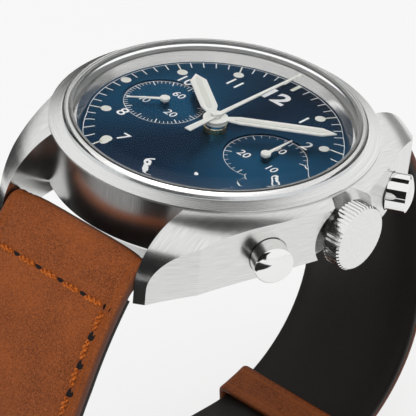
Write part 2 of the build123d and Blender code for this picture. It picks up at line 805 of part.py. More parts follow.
# Crown, its gasket and tube, the winding stem and the pinion that the stem slides in
with BuildPart() as crown:
    rib_sizes = (crown_ribs, crown_rib_depth, crown_rib_gap_share)
    toothed(crown_plane, crown_radius, *rib_sizes, crown_back_x, crown_face_x)
    with BuildSketch(watch_side) as crown_section:
        with BuildLine():
            face_radius = crown_radius - crown_chamfer
            Polyline(
                (crown_back_x, -crown_depth),
                (crown_back_x, crown_radius - crown_depth),
                (crown_face_x - crown_chamfer, crown_radius - crown_depth),
                (crown_face_x, face_radius - crown_depth),
                (crown_face_x, -crown_depth),
                close=True,
            )
        make_face()
    crown_axis = Axis((0, 0, dial_z - crown_depth), (1, 0, 0))
    revolve(crown_section.sketch, axis=crown_axis, mode=Mode.INTERSECT)
    rod(crown_plane, crown_cavity_radius, crown_back_x, crown_cavity_x, mode=Mode.SUBTRACT)
save(crown, "crown")

with BuildPart() as crown_gasket:
    crown_gasket_end = crown_gasket_x + crown_gasket_length
    tube_outside = crown_tube_radius + pin_clearance
    rod(crown_plane, crown_cavity_radius - seat_gap, crown_gasket_x, crown_gasket_end, bore=tube_outside)
save(crown_gasket, "crown_gasket")

with BuildPart() as crown_tube:
    tube_radius = crown_tube_radius - seat_gap
    rod(crown_plane, tube_radius, crown_tube_start, crown_tube_end, bore=crown_tube_bore)
save(crown_tube, "crown_tube")

with BuildPart() as winding_stem:
    rod(crown_plane, stem_radius, stem_start, crown_cavity_x)
save(winding_stem, "winding_stem")

with BuildPart() as winding_pinion:
    pinion_end = pinion_x + pinion_length
    tooth_sizes = (pinion_teeth, pinion_tooth_depth, pinion_tooth_gap_share)
    toothed(crown_plane, pinion_radius, *tooth_sizes, pinion_x, pinion_end)
    rod(crown_plane, stem_radius + pin_clearance, pinion_x, pinion_end, mode=Mode.SUBTRACT)
save(winding_pinion, "winding_pinion")

# Pushers: a cap and stem, the tube that guides it and the spring that returns it
for pusher_name, angle in pusher_angles.items():
    axis_plane = pusher_plane(angle)
    with BuildPart() as pusher:
        rod(axis_plane, pusher_cap_radius, pusher_back, pusher_face - pusher_dome_height)
        with BuildSketch(axis_plane.offset(pusher_face - pusher_dome_height)):
            Circle(pusher_cap_radius)
        extrude(amount=pusher_dome_height, taper=degrees(atan2(pusher_rim_width, pusher_dome_height)))
        rod(axis_plane, pusher_cavity_radius, pusher_back, pusher_cavity_end, mode=Mode.SUBTRACT)
        rod(axis_plane, pusher_stem_radius, pusher_stem_start, pusher_cavity_end)
    save(pusher, f"{pusher_name}_pusher")
    with BuildPart() as pusher_tube:
        tube_radius = pusher_tube_radius - seat_gap
        rod(axis_plane, tube_radius, pusher_tube_start, pusher_tube_end, bore=pusher_tube_bore)
    save(pusher_tube, f"{pusher_name}_pusher_tube")
    coil_length = pusher_cavity_end - pusher_recess_floor - spring_wire_width - 2 * seat_gap
    coil_start = pusher_recess_floor + spring_wire_width / 2 + seat_gap
    start_plane = axis_plane.offset(coil_start)
    pitch = coil_length / spring_turns
    with BuildPart() as pusher_spring:
        with BuildLine() as coil:
            Helix(pitch, coil_length, spring_radius, center=start_plane.origin, direction=start_plane.z_dir)
        with BuildSketch(Plane(origin=coil.line @ 0, z_dir=coil.line % 0)):
            Rectangle(spring_wire_width, spring_wire_width)
        sweep(path=coil.line, is_frenet=True)
    save(pusher_spring, f"{pusher_name}_pusher_spring")

# Spring bars between the lugs
for bar_name, y in (("spring_bar_12", spring_bar_y), ("spring_bar_6", -spring_bar_y)):
    bar_plane = Plane(origin=(0, y, dial_z - spring_bar_depth), x_dir=(0, 1, 0), z_dir=(1, 0, 0))
    bar_half = lug_inside - layer_gap
    tip_half = lug_inside + spring_bar_tip_length
    with BuildPart() as spring_bar:
        rod(bar_plane, spring_bar_radius, -bar_half, bar_half)
        rod(bar_plane, spring_bar_tip_radius, -tip_half, tip_half)
    save(spring_bar, bar_name)

# Strap halves, drawn as (distance from the hand axis, height). The upper part of each half lies
# between two arcs that meet the nose round the spring bar and stand upright at the widest place.
spring_bar_at = (spring_bar_y, -spring_bar_depth)
rise = side_depth - spring_bar_depth
inner_lean = spring_bar_y - loop_half_width
inner_radius = (inner_lean**2 + rise**2 - nose_radius**2) / (2 * (nose_radius - inner_lean))
inner_centre = (loop_half_width - inner_radius, -side_depth)
inner_angle = degrees(atan2(rise, spring_bar_y - inner_centre[0]))
outer_half_width = loop_half_width + strap_thickness
outer_lean = spring_bar_y - outer_half_width
outer_radius = -(outer_lean**2 + rise**2 - nose_radius**2) / (2 * (nose_radius + outer_lean))
outer_centre = (outer_half_width - outer_radius, -side_depth)
outer_angle = degrees(atan2(rise, spring_bar_y - outer_centre[0]))
corner = (corner_y, -side_depth)
far_corner = (-corner_y, -side_depth)
lining_start = inner_angle - lining_start_angle

# The long half bends outwards over the buckle's bar, from the inner layer to the outer one
bend_drop = outer_layer_depth - loop_depth
bend_run = bend_start_y - bend_end_y
bend_radius = (bend_run**2 + bend_drop**2) / (4 * bend_drop)
bend_angle = degrees(asin(bend_run / (2 * bend_radius)))
first_bend = (bend_start_y, -loop_depth - bend_radius - strap_thickness / 2)
second_bend = (bend_end_y, -outer_layer_depth + bend_radius - strap_thickness / 2)


def nose_and_outside():
    """The outer edge of a strap half, from the widest place up and round the nose."""
    CenterArc(outer_centre, outer_radius, 0, outer_angle)
    CenterArc(spring_bar_at, nose_radius, outer_angle, 180 + inner_angle - outer_angle)


def long_run(offset):
    """The long half's edge at an offset from its inside, from the widest place to the tail."""
    CenterArc(corner, corner_radius + offset, 0, -90)
    Line((corner_y, -loop_depth - offset), (bend_start_y, -loop_depth - offset))
    CenterArc(first_bend, bend_radius + strap_thickness / 2 - offset, 90, bend_angle)
    CenterArc(second_bend, bend_radius - strap_thickness / 2 + offset, -90, bend_angle)
    Line((bend_end_y, -outer_layer_depth - offset), (-corner_y, -outer_layer_depth - offset))
    return CenterArc(far_corner, outer_layer_depth - side_depth + offset, -90, -tail_angle)


def short_run(offset, end):
    """The short half's edge at an offset from its inside, from the widest place to its end."""
    CenterArc(corner, corner_radius + offset, 0, -90)
    return Line((corner_y, -loop_depth - offset), (end, -loop_depth - offset))


def lining_outline(run):
    """The closed outline of a strap half's lining."""
    with BuildLine() as outline:
        inside = CenterArc(inner_centre, inner_radius, lining_start, -lining_start)
        outside = CenterArc(inner_centre, inner_radius + lining_thickness, lining_start, -lining_start)
        Line(inside @ 0, outside @ 0)
        Line(run(0) @ 1, run(lining_thickness) @ 1)
    return outline.line


def short_lining_run(offset):
    """The short half's lining stops before the eye round the buckle's bar."""
    return short_run(offset, eye_slot_end_y + layer_gap)


def trim_width():
    """Cut a strap half to its width, which narrows along its side."""
    low = -dial_z - overrun
    edge = [
        (strap_half_width, 0),
        (strap_half_width, -taper_start_depth),
        (strap_end_half_width, -taper_end_depth),
        (strap_end_half_width, low),
    ]
    with BuildSketch(watch_side) as front:
        with BuildLine():
            Polyline(*edge, *[(-x, z) for x, z in reversed(edge)], close=True)
        make_face()
    extrude(front.sketch, amount=outer_half_width + overrun, both=True, mode=Mode.INTERSECT)


def tongue_slot(start, end):
    """Cut the slot through which the buckle's tongue passes."""
    with BuildSketch(Plane.XY) as slot:
        with Locations((0, (start + end) / 2)):
            Rectangle(2 * (tongue_half_width + tongue_side_gap), abs(start - end))
    extrude(slot.sketch, amount=dial_z - side_depth, mode=Mode.SUBTRACT)


def round_tail():
    """Round the two corners of the long half's tail, at the end of its arc."""
    arc_radius = outer_layer_depth - side_depth + strap_thickness / 2
    turn = radians(tail_angle)
    tail_plane = Plane(
        origin=(0, corner_y + arc_radius * sin(turn), dial_z - side_depth - arc_radius * cos(turn)),
        x_dir=(1, 0, 0),
        z_dir=(0, -sin(turn), cos(turn)),
    )
    with BuildSketch(tail_plane) as corners:
        Rectangle(4 * strap_end_half_width, 2 * tail_corner_radius)
        with Locations((0, -2 * tail_corner_radius)):
            RectangleRounded(
                2 * strap_end_half_width, 4 * tail_corner_radius, tail_corner_radius, mode=Mode.SUBTRACT
            )
    extrude(corners.sketch, amount=strap_thickness, both=True, mode=Mode.SUBTRACT)


with BuildPart() as strap_long_leather:
    with BuildSketch(six_side):
        with BuildLine():
            CenterArc(inner_centre, inner_radius, inner_angle, -inner_angle)
            nose_and_outside()
            Line(long_run(0) @ 1, long_run(strap_thickness) @ 1)
        make_face()
        make_face(lining_outline(long_run).edges(), mode=Mode.SUBTRACT)
        with Locations(spring_bar_at):
            Circle(spring_bar_radius + pin_clearance, mode=Mode.SUBTRACT)
    extrude(amount=strap_half_width, both=True)
    trim_width()
    tongue_slot(strap_slot_start_y, strap_slot_end_y)
    round_tail()
save(strap_long_leather, "strap_long_leather")

with BuildPart() as strap_long_lining:
    with BuildSketch(six_side):
        make_face(lining_outline(long_run).edges())
    extrude(amount=strap_half_width, both=True)
    trim_width()
    tongue_slot(strap_slot_start_y, strap_slot_end_y)
    round_tail()
save(strap_long_lining, "strap_long_lining")

with BuildPart() as strap_short_leather:
    with BuildSketch(twelve_side):
        with BuildLine():
            CenterArc(inner_centre, inner_radius, inner_angle, -inner_angle)
            nose_and_outside()
            short_run(0, bar_y)
            short_run(strap_thickness, bar_y)
            CenterArc((bar_y, -bar_depth), strap_thickness / 2, 90, 180)
        make_face()
        make_face(lining_outline(short_lining_run).edges(), mode=Mode.SUBTRACT)
        with Locations(spring_bar_at):
            Circle(spring_bar_radius + pin_clearance, mode=Mode.SUBTRACT)
        with Locations((bar_y, -bar_depth)):
            Circle(bar_radius + pin_clearance, mode=Mode.SUBTRACT)
    extrude(amount=strap_half_width, both=True)
    trim_width()
    tongue_slot(bar_y - strap_thickness, eye_slot_end_y)
save(strap_short_leather, "strap_short_leather")

with BuildPart() as strap_short_lining:
    with BuildSketch(twelve_side):
        make_face(lining_outline(short_lining_run).edges())
    extrude(amount=strap_half_width, both=True)
    trim_width()
save(strap_short_lining, "strap_short_lining")

# Keepers: leather loops round both layers. The free one follows the arc of the corner.
keeper_top = loop_depth - keeper_gap
keeper_bottom = outer_layer_depth + strap_thickness + keeper_gap
keeper_middle = (keeper_top + keeper_bottom) / 2
keeper_opening = keeper_bottom - keeper_top
with BuildPart() as keeper_fixed:
    with BuildSketch(Plane.XZ.offset(-fixed_keeper_y - keeper_length / 2)):
        with Locations((0, dial_z - keeper_middle)):
            full_width = 2 * (fixed_half_width + keeper_wall)
            RectangleRounded(full_width, keeper_opening + 2 * keeper_wall, keeper_wall)
            Rectangle(2 * fixed_half_width, keeper_opening, mode=Mode.SUBTRACT)
    extrude(amount=keeper_length)
save(keeper_fixed, "keeper_fixed")

keeper_arc = degrees(keeper_length / corner_radius)
keeper_start = radians(free_keeper_angle - keeper_arc / 2)
corner_origin = (0, corner_y, dial_z - side_depth)
with BuildPart() as keeper_free:
    slice_plane = Plane(
        origin=corner_origin, x_dir=(1, 0, 0), z_dir=(0, cos(keeper_start), sin(keeper_start))
    )
    with BuildSketch(slice_plane) as keeper_slice:
        with Locations((0, keeper_middle - side_depth)):
            RectangleRounded(full_width, keeper_opening + 2 * keeper_wall, keeper_wall)
            Rectangle(2 * fixed_half_width, keeper_opening, mode=Mode.SUBTRACT)
    revolve(keeper_slice.sketch, axis=Axis(corner_origin, (1, 0, 0)), revolution_arc=keeper_arc)
save(keeper_free, "keeper_free")

# Buckle: a frame of two rails and a front bar, the bar that holds it and the tongue
rail_inside = strap_end_half_width + rail_gap
rail_outside = rail_inside + rail_width
front_bar_top = dial_z - loop_depth - strap_thickness - front_bar_gap
front_edge_y = front_bar_y - front_bar_length / 2
rear_edge_y = front_bar_y + front_bar_length / 2
bar_z = dial_z - bar_depth
with BuildPart() as buckle_frame:
    with BuildSketch(Plane.YZ.offset(-rail_outside)):
        with BuildLine():
            Polyline(
                (front_edge_y, 0),
                (bar_y, 0),
                (bar_y, bar_z + boss_radius),
                (rear_edge_y, front_bar_top),
                (front_edge_y, front_bar_top),
                close=True,
            )
        make_face()
        with Locations((bar_y, bar_z)):
            Circle(boss_radius)
        with Locations((bar_y, 0)):
            Rectangle(boss_radius, bar_z, align=(Align.MIN, Align.MIN))
    extrude(amount=2 * rail_outside)
    front_edges = edges().filter_by(Axis.X).group_by(Axis.Y)[0]
    fillet(front_edges, front_bar_edge_radius)
    with BuildSketch(Plane.XY.offset(-overrun)):
        with Locations((0, rear_edge_y)):
            Rectangle(2 * rail_inside, 4 * overrun, align=(Align.CENTER, Align.MIN))
    extrude(amount=dial_z, mode=Mode.SUBTRACT)
    with BuildSketch(Plane.XY):
        with Locations((0, front_bar_y)):
            Rectangle(2 * (tongue_half_width + tongue_side_gap), 2 * front_bar_length)
    notch_top = tongue_foot_height + tongue_thickness + layer_gap
    extrude(amount=notch_top, mode=Mode.SUBTRACT)
    hole_plane = Plane(origin=(0, bar_y, bar_z), x_dir=(0, 1, 0), z_dir=(1, 0, 0))
    rod(hole_plane, bar_radius + seat_gap, -rail_outside, rail_outside, mode=Mode.SUBTRACT)
save(buckle_frame, "buckle_frame")

with BuildPart() as buckle_bar:
    rod(hole_plane, bar_radius, -rail_outside, rail_outside)
save(buckle_bar, "buckle_bar")

with BuildPart() as buckle_tongue:
    with BuildSketch(twelve_side):
        with BuildLine():
            tongue_end_y = front_edge_y - tongue_end_length
            Polyline((bar_y, -bar_depth), (tongue_knee_y, -tongue_level), (tongue_end_y, -tongue_level))
        trace(line_width=tongue_thickness)
        with Locations((bar_y, -bar_depth)):
            Circle(tongue_ring_radius)
            Circle(bar_radius + pin_clearance, mode=Mode.SUBTRACT)
    extrude(amount=tongue_half_width, both=True)
save(buckle_tongue, "buckle_tongue")
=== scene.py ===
from math import asin, atan2, cos, degrees, hypot, pi, radians, sin, sqrt

import bmesh
import bpy
from mathutils import Matrix, Vector


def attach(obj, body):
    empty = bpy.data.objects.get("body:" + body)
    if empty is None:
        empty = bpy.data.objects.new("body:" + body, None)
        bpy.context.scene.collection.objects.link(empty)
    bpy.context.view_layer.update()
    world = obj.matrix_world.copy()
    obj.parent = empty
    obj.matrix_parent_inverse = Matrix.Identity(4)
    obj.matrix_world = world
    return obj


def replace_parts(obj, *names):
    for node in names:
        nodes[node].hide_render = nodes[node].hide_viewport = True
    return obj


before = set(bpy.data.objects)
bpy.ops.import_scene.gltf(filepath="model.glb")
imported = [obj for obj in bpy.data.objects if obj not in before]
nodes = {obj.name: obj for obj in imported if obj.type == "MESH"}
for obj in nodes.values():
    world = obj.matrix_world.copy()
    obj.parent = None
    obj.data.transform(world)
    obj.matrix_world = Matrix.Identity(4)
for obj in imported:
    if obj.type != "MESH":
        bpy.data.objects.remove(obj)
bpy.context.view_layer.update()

# Lengths are in millimetres and become metres through MM. Heights are taken from the dial's face,
# and a strap half is drawn as (distance from the hand axis, height), as the solids are.
MM = 0.001
DIAL_Z = 55.35

# Strap loop
LOOP_DEPTH = 49.5
LOOP_HALF_WIDTH = 31.0
CORNER_RADIUS = 15.8
THICKNESS = 2.3
LINING = 0.8
NOSE_RADIUS = 2.1
SPRING_BAR = (21.5, -5.1)
SPRING_BAR_HOLE = 0.8
HALF_WIDTH = 10.1
END_HALF_WIDTH = 9.0
TAPER_START = 16.0
TAPER_END = 36.0
OUTER_LAYER = 52.05
BEND_START = 14.7
BEND_END = 5.2
TAIL_ANGLE = 40.0
TAIL_CORNER = 6.0
BAR_Y = -3.2
BAR_RADIUS = 0.65
SHORT_LINING_END = -1.25
SIDE_DEPTH = LOOP_DEPTH - CORNER_RADIUS
CORNER_Y = LOOP_HALF_WIDTH - CORNER_RADIUS

# Keepers and the tongue's slot
KEEPER_GAP = 0.2
KEEPER_LENGTH = 5.0
FIXED_KEEPER_Y = 2.0
FREE_KEEPER_ANGLE = 17.3
SLOT_HALF_WIDTH = 1.3
LONG_SLOT = (-11.6, -4.0)
SHORT_SLOT = (-5.5, -1.5)
HOLE_RADIUS = 0.95
HOLE_PLACES = (-0.8, 6.2, 13.2)
CUTTER_HEIGHT = 0.2 * DIAL_Z

# Dial
COUNTER_X = 7.79
COUNTER_SINK = 0.15
PRINT_HEIGHT = 0.02

# The world's light on matt surfaces, where the camera and reflections see white
WORLD_LIGHT = 0.65


# Objects and their meshes
def added(name, data):
    """A new object in the scene."""
    made = bpy.data.objects.new(name, data)
    bpy.context.scene.collection.objects.link(made)
    return made


def drawn_mesh(made):
    """An object's mesh as its modifiers or its text draw it."""
    bpy.context.view_layer.update()
    shown = made.evaluated_get(bpy.context.evaluated_depsgraph_get())
    return bpy.data.meshes.new_from_object(shown)


def mesh_of(name, shape):
    """The mesh of a finished bmesh shape."""
    mesh = bpy.data.meshes.new(name)
    shape.to_mesh(mesh)
    shape.free()
    return mesh


# Camera: place, turn and lens found from the photograph's vanishing lines and ellipses
camera_data = bpy.data.cameras.new("camera")
camera_data.sensor_width = 36.0
camera_data.lens = 253.2
camera_data.clip_start = 0.02
camera_data.clip_end = 20.0
camera = added("camera", camera_data)
right = Vector((0.730525, 0.678242, 0.079505))
up = Vector((-0.410983, 0.343684, 0.844378))
back = Vector((0.545368, -0.649514, 0.529816))
turn = Matrix((right, up, back)).transposed()
camera.matrix_world = Matrix.Translation((0.18467, -0.21978, 0.22497)) @ turn.to_4x4()
bpy.context.scene.camera = camera
bpy.context.scene.view_settings.view_transform = "Standard"


# Materials
def node(tree, kind, *inputs, **settings):
    """Add a shader node. Inputs are values or sockets in the node's order; None leaves one as it is."""
    made = tree.nodes.new("ShaderNode" + kind)
    for name, value in settings.items():
        setattr(made, name, value)
    for socket, value in zip(made.inputs, inputs):
        if isinstance(value, bpy.types.NodeSocket):
            tree.links.new(value, socket)
        elif value is not None:
            socket.default_value = value
    return made


def maths(tree, operation, *inputs):
    """The result of a Math node."""
    return node(tree, "Math", *inputs, operation=operation).outputs[0]


def times(tree, first, second):
    """The product of two values."""
    return maths(tree, "MULTIPLY", first, second)


def remap(tree, value, *limits):
    """A value taken from one range to another, or to 0 to 1, and kept within it."""
    return node(tree, "MapRange", value, *limits).outputs[0]


def noise(tree, place, *settings):
    """A noise with a scale, a detail and, where given, a roughness."""
    return node(tree, "TexNoise", place, None, *settings).outputs[0]


def object_place(tree):
    """The place on the object."""
    return node(tree, "TexCoord").outputs["Object"]


def blend(tree, amount, first, second):
    """A colour between two colours or colour sockets."""
    mix = node(tree, "Mix", data_type="RGBA")
    for name, value in (("Factor_Float", amount), ("A_Color", first), ("B_Color", second)):
        socket = next(s for s in mix.inputs if s.identifier == name)
        if isinstance(value, bpy.types.NodeSocket):
            tree.links.new(value, socket)
        else:
            socket.default_value = value if name == "Factor_Float" else (*value, 1.0)
    return next(s for s in mix.outputs if s.identifier == "Result_Color")


def band(tree, value, low, high, soft):
    """1 where a value lies between two limits, and 0 elsewhere, with soft edges."""
    rise = remap(tree, value, low - soft, low + soft)
    fall = remap(tree, value, high - soft, high + soft, 1.0, 0.0)
    return times(tree, rise, fall)


def material(name, color, metallic, roughness, **more):
    """A new material, with the constant values on the shader's own sockets."""
    made = bpy.data.materials.new(name)
    made.use_nodes = True
    shader = made.node_tree.nodes["Principled BSDF"]
    shader.inputs["Base Color"].default_value = (*color, 1.0)
    shader.inputs["Metallic"].default_value = metallic
    shader.inputs["Roughness"].default_value = roughness
    for socket, value in more.items():
        shader.inputs[socket.replace("_", " ")].default_value = value
    return made


def bare_material(name):
    """A new material without a shader, its node tree and its surface socket."""
    made = bpy.data.materials.new(name)
    made.use_nodes = True
    tree = made.node_tree
    tree.nodes.remove(tree.nodes["Principled BSDF"])
    return made, tree, tree.nodes["Material Output"].inputs["Surface"]


def parts_of(made):
    """A material's node tree and its shader's sockets."""
    return made.node_tree, made.node_tree.nodes["Principled BSDF"].inputs


def bump(tree, height, distance, sockets):
    """Give a material relief from a height, in millimetres."""
    relief = node(tree, "Bump", 1.0, distance * MM)
    tree.links.new(height, relief.inputs["Height"])
    tree.links.new(relief.outputs[0], sockets["Normal"])


def brush_lines(tree, across, along, fine=16000.0):
    """Fine parallel scratches: dense across the brushing and drawn out along it."""
    place = node(tree, "CombineXYZ", times(tree, across, fine), times(tree, along, 420.0)).outputs[0]
    return noise(tree, place, 1.0, 2.0, 0.6)


def drawn_out(made, amount):
    """Stretch a material's highlights round the Z axis, as circular brushing does."""
    tree, sockets = parts_of(made)
    sockets["Anisotropic"].default_value = amount
    tangent = node(tree, "Tangent", direction_type="RADIAL", axis="Z")
    tree.links.new(tangent.outputs[0], sockets["Tangent"])


WHITE_METAL = (1.0, 1.0, 0.985)
YELLOW_METAL = (1.0, 0.74, 0.4)
GLINT_TINT = (0.95, 0.98, 1.0)


def brushed_steel(name, lines, light, dark, rough, depth, tint=WHITE_METAL):
    """Brushed metal: the scratches change its colour, its gloss and its relief."""
    made = material(name, (light, light, light), 1.0, rough[0])
    tree, sockets = parts_of(made)
    split = node(tree, "SeparateXYZ", object_place(tree)).outputs
    scratch = lines(tree, split)
    tone = remap(tree, scratch, 0.3, 0.7)
    dark_tone = tuple(dark * channel for channel in tint)
    shade = blend(tree, tone, dark_tone, tuple(light * channel for channel in tint))
    tree.links.new(shade, sockets["Base Color"])
    gloss = remap(tree, scratch, 0.3, 0.7, rough[1], rough[0])
    tree.links.new(gloss, sockets["Roughness"])
    bump(tree, scratch, depth, sockets)
    return made


def around(tree, split):
    """(distance round the hand axis, height) for brushing that runs up and down a round wall."""
    angle = maths(tree, "ARCTAN2", split[1], split[0])
    return times(tree, angle, 19.0 * MM), split[2]


def from_axis(tree, split):
    """The distance from the hand axis."""
    flat = node(tree, "CombineXYZ", split[0], split[1]).outputs[0]
    return node(tree, "VectorMath", flat, operation="LENGTH").outputs["Value"]


def case_lines(tree, split):
    """Brushing along the lugs' tops and the flanks, and up and down the round wall between the lugs."""
    normal = node(tree, "SeparateXYZ", node(tree, "NewGeometry").outputs["Normal"]).outputs
    top = brush_lines(tree, split[0], split[1])
    flank = brush_lines(tree, split[2], split[1])
    wall = brush_lines(tree, *around(tree, split), fine=9000.0)
    on_top = remap(tree, normal[2], 0.45, 0.6)
    outside = remap(tree, from_axis(tree, split), 19.1 * MM, 19.3 * MM)
    sides = node(tree, "Mix", outside, None, wall, flank).outputs[0]
    return node(tree, "Mix", on_top, None, sides, top).outputs[0]


def ring_lines(tree, split):
    """Brushing in circles round the hand axis."""
    angle = maths(tree, "ARCTAN2", split[1], split[0])
    return brush_lines(tree, from_axis(tree, split), times(tree, angle, 3 * MM))


def straight_lines(tree, split):
    """Brushing along Y."""
    return brush_lines(tree, split[0], split[1])


def frosted_lines(tree, _):
    """An even blasted finish, with no direction."""
    return noise(tree, object_place(tree), 6000.0, 3.0)


def polished_steel():
    """Polished steel with faint wiping marks."""
    made = material("steel_polished", (0.86, 0.86, 0.86 * 0.985), 1.0, 0.06)
    tree, sockets = parts_of(made)
    haze = noise(tree, object_place(tree), 400.0, 3.0)
    tree.links.new(remap(tree, haze, 0.4, 0.8, 0.05, 0.11), sockets["Roughness"])
    return made


def rubber():
    """Black rubber for the gaskets."""
    made = material("rubber", (0.006, 0.006, 0.007), 0.0, 0.5)
    tree, sockets = parts_of(made)
    speck = noise(tree, object_place(tree), 5000.0, 2.0)
    bump(tree, speck, 0.02, sockets)
    return made


def sunray_dial(name, dark, light, sheen_turn):
    """Blue lacquer on a sunray-brushed face, with a painted sheen in two fans round the centre."""
    made = material(name, light, 1.0, 0.34, Specular_Tint=(0.55, 0.6, 0.7, 1.0))
    tree, sockets = parts_of(made)
    split = node(tree, "SeparateXYZ", object_place(tree)).outputs
    angle = maths(tree, "ARCTAN2", split[1], split[0])
    # Painted sheen: the colour grows lighter and darker in two fans round the centre
    painted_sheen = maths(tree, "COSINE", maths(tree, "ADD", times(tree, angle, 2.0), sheen_turn))
    around_centre = times(tree, angle, 40.0)
    ray_place = node(tree, "CombineXYZ", around_centre, from_axis(tree, split)).outputs[0]
    rays = noise(tree, ray_place, 3.0, 3.0)
    tone = maths(tree, "ADD", times(tree, painted_sheen, 0.5), times(tree, rays, 0.35))
    amount = remap(tree, tone, -0.3, 0.75)
    tree.links.new(blend(tree, amount, dark, light), sockets["Base Color"])
    bump(tree, rays, 0.004, sockets)
    return made


def lacquer(name, color, rough=0.35):
    """Printed or painted colour with a fine uneven surface."""
    made = material(name, color, 0.0, rough)
    tree, sockets = parts_of(made)
    speck = noise(tree, object_place(tree), 7000.0, 2.0)
    bump(tree, speck, 0.004, sockets)
    return made


LEATHER_ROUGHNESS = 0.45
LEATHER_SHINE = 0.2


def leather(name, main, dark, edge, crease):
    """Oiled leather: mottled grain, pressed crease, burnished edge, and painted shade where it faces the
    case.

    The UV map holds the distance from the piece's edge and the length along it, in centimetres."""
    made = material(name, main, 0.0, LEATHER_ROUGHNESS, Specular_IOR_Level=LEATHER_SHINE)
    tree, sockets = parts_of(made)
    place = object_place(tree)
    split = node(tree, "SeparateXYZ", node(tree, "UVMap").outputs[0]).outputs
    inset = times(tree, split[0], 10.0)
    cloud = noise(tree, place, 210.0, 5.0, 0.62)
    speckle = noise(tree, place, 6200.0, 6.0, 0.8)
    fleck = noise(tree, place, 4900.0, 3.0, 0.7)
    pores = node(tree, "TexVoronoi", place, None, 2600.0).outputs[0]
    spots = remap(tree, speckle, 0.43, 0.57)
    patches = remap(tree, cloud, 0.35, 0.68)
    tone = blend(tree, times(tree, spots, 0.85), dark, main)
    worn = tuple(min(1.0, 1.35 * channel) for channel in main)
    tone = blend(tree, times(tree, patches, 0.3), tone, worn)
    pale = tuple(min(1.0, 1.5 * channel + 0.02) for channel in main)
    flecks = remap(tree, fleck, 0.52, 0.68)
    tone = blend(tree, times(tree, flecks, 0.45), tone, pale)
    tone = blend(tree, times(tree, band(tree, inset, 0.92, 1.2, 0.14), 0.75), tone, crease)
    tone = blend(tree, remap(tree, inset, 0.02, 0.3, 1.0, 0.0), tone, edge)
    # Painted shade: the nose turns near black where it faces the case, between the lugs
    sides = node(tree, "SeparateXYZ", place).outputs
    far = maths(tree, "ABSOLUTE", sides[1])
    case_shade = remap(tree, far, 20.3 * MM, 21.2 * MM, 1.0, 0.0)
    by_lugs = remap(tree, sides[2], 43.0 * MM, 45.0 * MM)
    tone = blend(tree, times(tree, case_shade, by_lugs), tone, (0.012, 0.004, 0.002))
    tree.links.new(tone, sockets["Base Color"])
    limits = (LEATHER_ROUGHNESS + 0.16, LEATHER_ROUGHNESS - 0.04)
    gloss = remap(tree, speckle, 0.35, 0.65, *limits)
    tree.links.new(gloss, sockets["Roughness"])
    grain = maths(tree, "ADD", times(tree, speckle, 0.7), times(tree, pores, 0.5))
    bump(tree, maths(tree, "ADD", grain, times(tree, cloud, 0.6)), 0.06, sockets)
    return made


def lining_leather():
    """Smooth dark leather for the side that lies on the wrist."""
    made = material("lining_leather", (0.008, 0.006, 0.005), 0.0, 0.5, Specular_IOR_Level=LEATHER_SHINE)
    tree, sockets = parts_of(made)
    pores = noise(tree, object_place(tree), 3600.0, 6.0, 0.75)
    tone = blend(tree, pores, (0.005, 0.004, 0.003), (0.011, 0.008, 0.006))
    tree.links.new(tone, sockets["Base Color"])
    bump(tree, pores, 0.04, sockets)
    return made


def thread_material():
    """Waxed thread: fine fibres round an orange-brown ply."""
    made = material("thread", (0.55, 0.19, 0.045), 0.0, 0.7, Specular_IOR_Level=0.12)
    tree, sockets = parts_of(made)
    fibre = noise(tree, object_place(tree), 5200.0, 3.0)
    amount = remap(tree, fibre, 0.35, 0.65)
    tree.links.new(blend(tree, amount, (0.16, 0.03, 0.005), (0.56, 0.15, 0.024)), sockets["Base Color"])
    bump(tree, fibre, 0.04, sockets)
    return made


SAPPHIRE_INDEX = 1.77
COATING_POWER = 2.6


def crystal_glass():
    """Coated sapphire: it refracts as sapphire does and reflects less, by the coating's power."""
    made, tree, surface = bare_material("crystal_glass")
    fresnel = node(tree, "Fresnel", SAPPHIRE_INDEX).outputs[0]
    bend = node(tree, "BsdfRefraction", (1.0, 1.0, 1.0, 1.0), 0.0, SAPPHIRE_INDEX).outputs[0]
    mirror = node(tree, "BsdfGlossy", (1.0, 1.0, 1.0, 1.0), 0.02).outputs[0]
    whole = node(tree, "MixShader", maths(tree, "POWER", fresnel, COATING_POWER), bend, mirror).outputs[0]
    tree.links.new(whole, surface)
    return made


def dress(made, *names):
    """Give CAD nodes a material."""
    for name in names:
        for slot in nodes[name].material_slots:
            slot.material = made


steel_case = brushed_steel("steel_case", case_lines, 0.78, 0.66, (0.17, 0.25), 0.004)
steel_ring = brushed_steel("steel_ring", ring_lines, 0.84, 0.7, (0.22, 0.32), 0.005)
drawn_out(steel_ring, 0.5)
nylon = lacquer("gasket_nylon", (0.5, 0.5, 0.49))
steel_back = brushed_steel("steel_back", ring_lines, 0.66, 0.52, (0.25, 0.4), 0.008)
steel_plain = brushed_steel("steel_plain", straight_lines, 0.66, 0.56, (0.22, 0.34), 0.006)
steel_polished = polished_steel()
crown_steel = brushed_steel("crown_steel", frosted_lines, 0.82, 0.76, (0.1, 0.18), 0.002)
brass = brushed_steel("brass", ring_lines, 0.8, 0.62, (0.25, 0.4), 0.006, YELLOW_METAL)
rubber_black = rubber()
crystal_clear = crystal_glass()
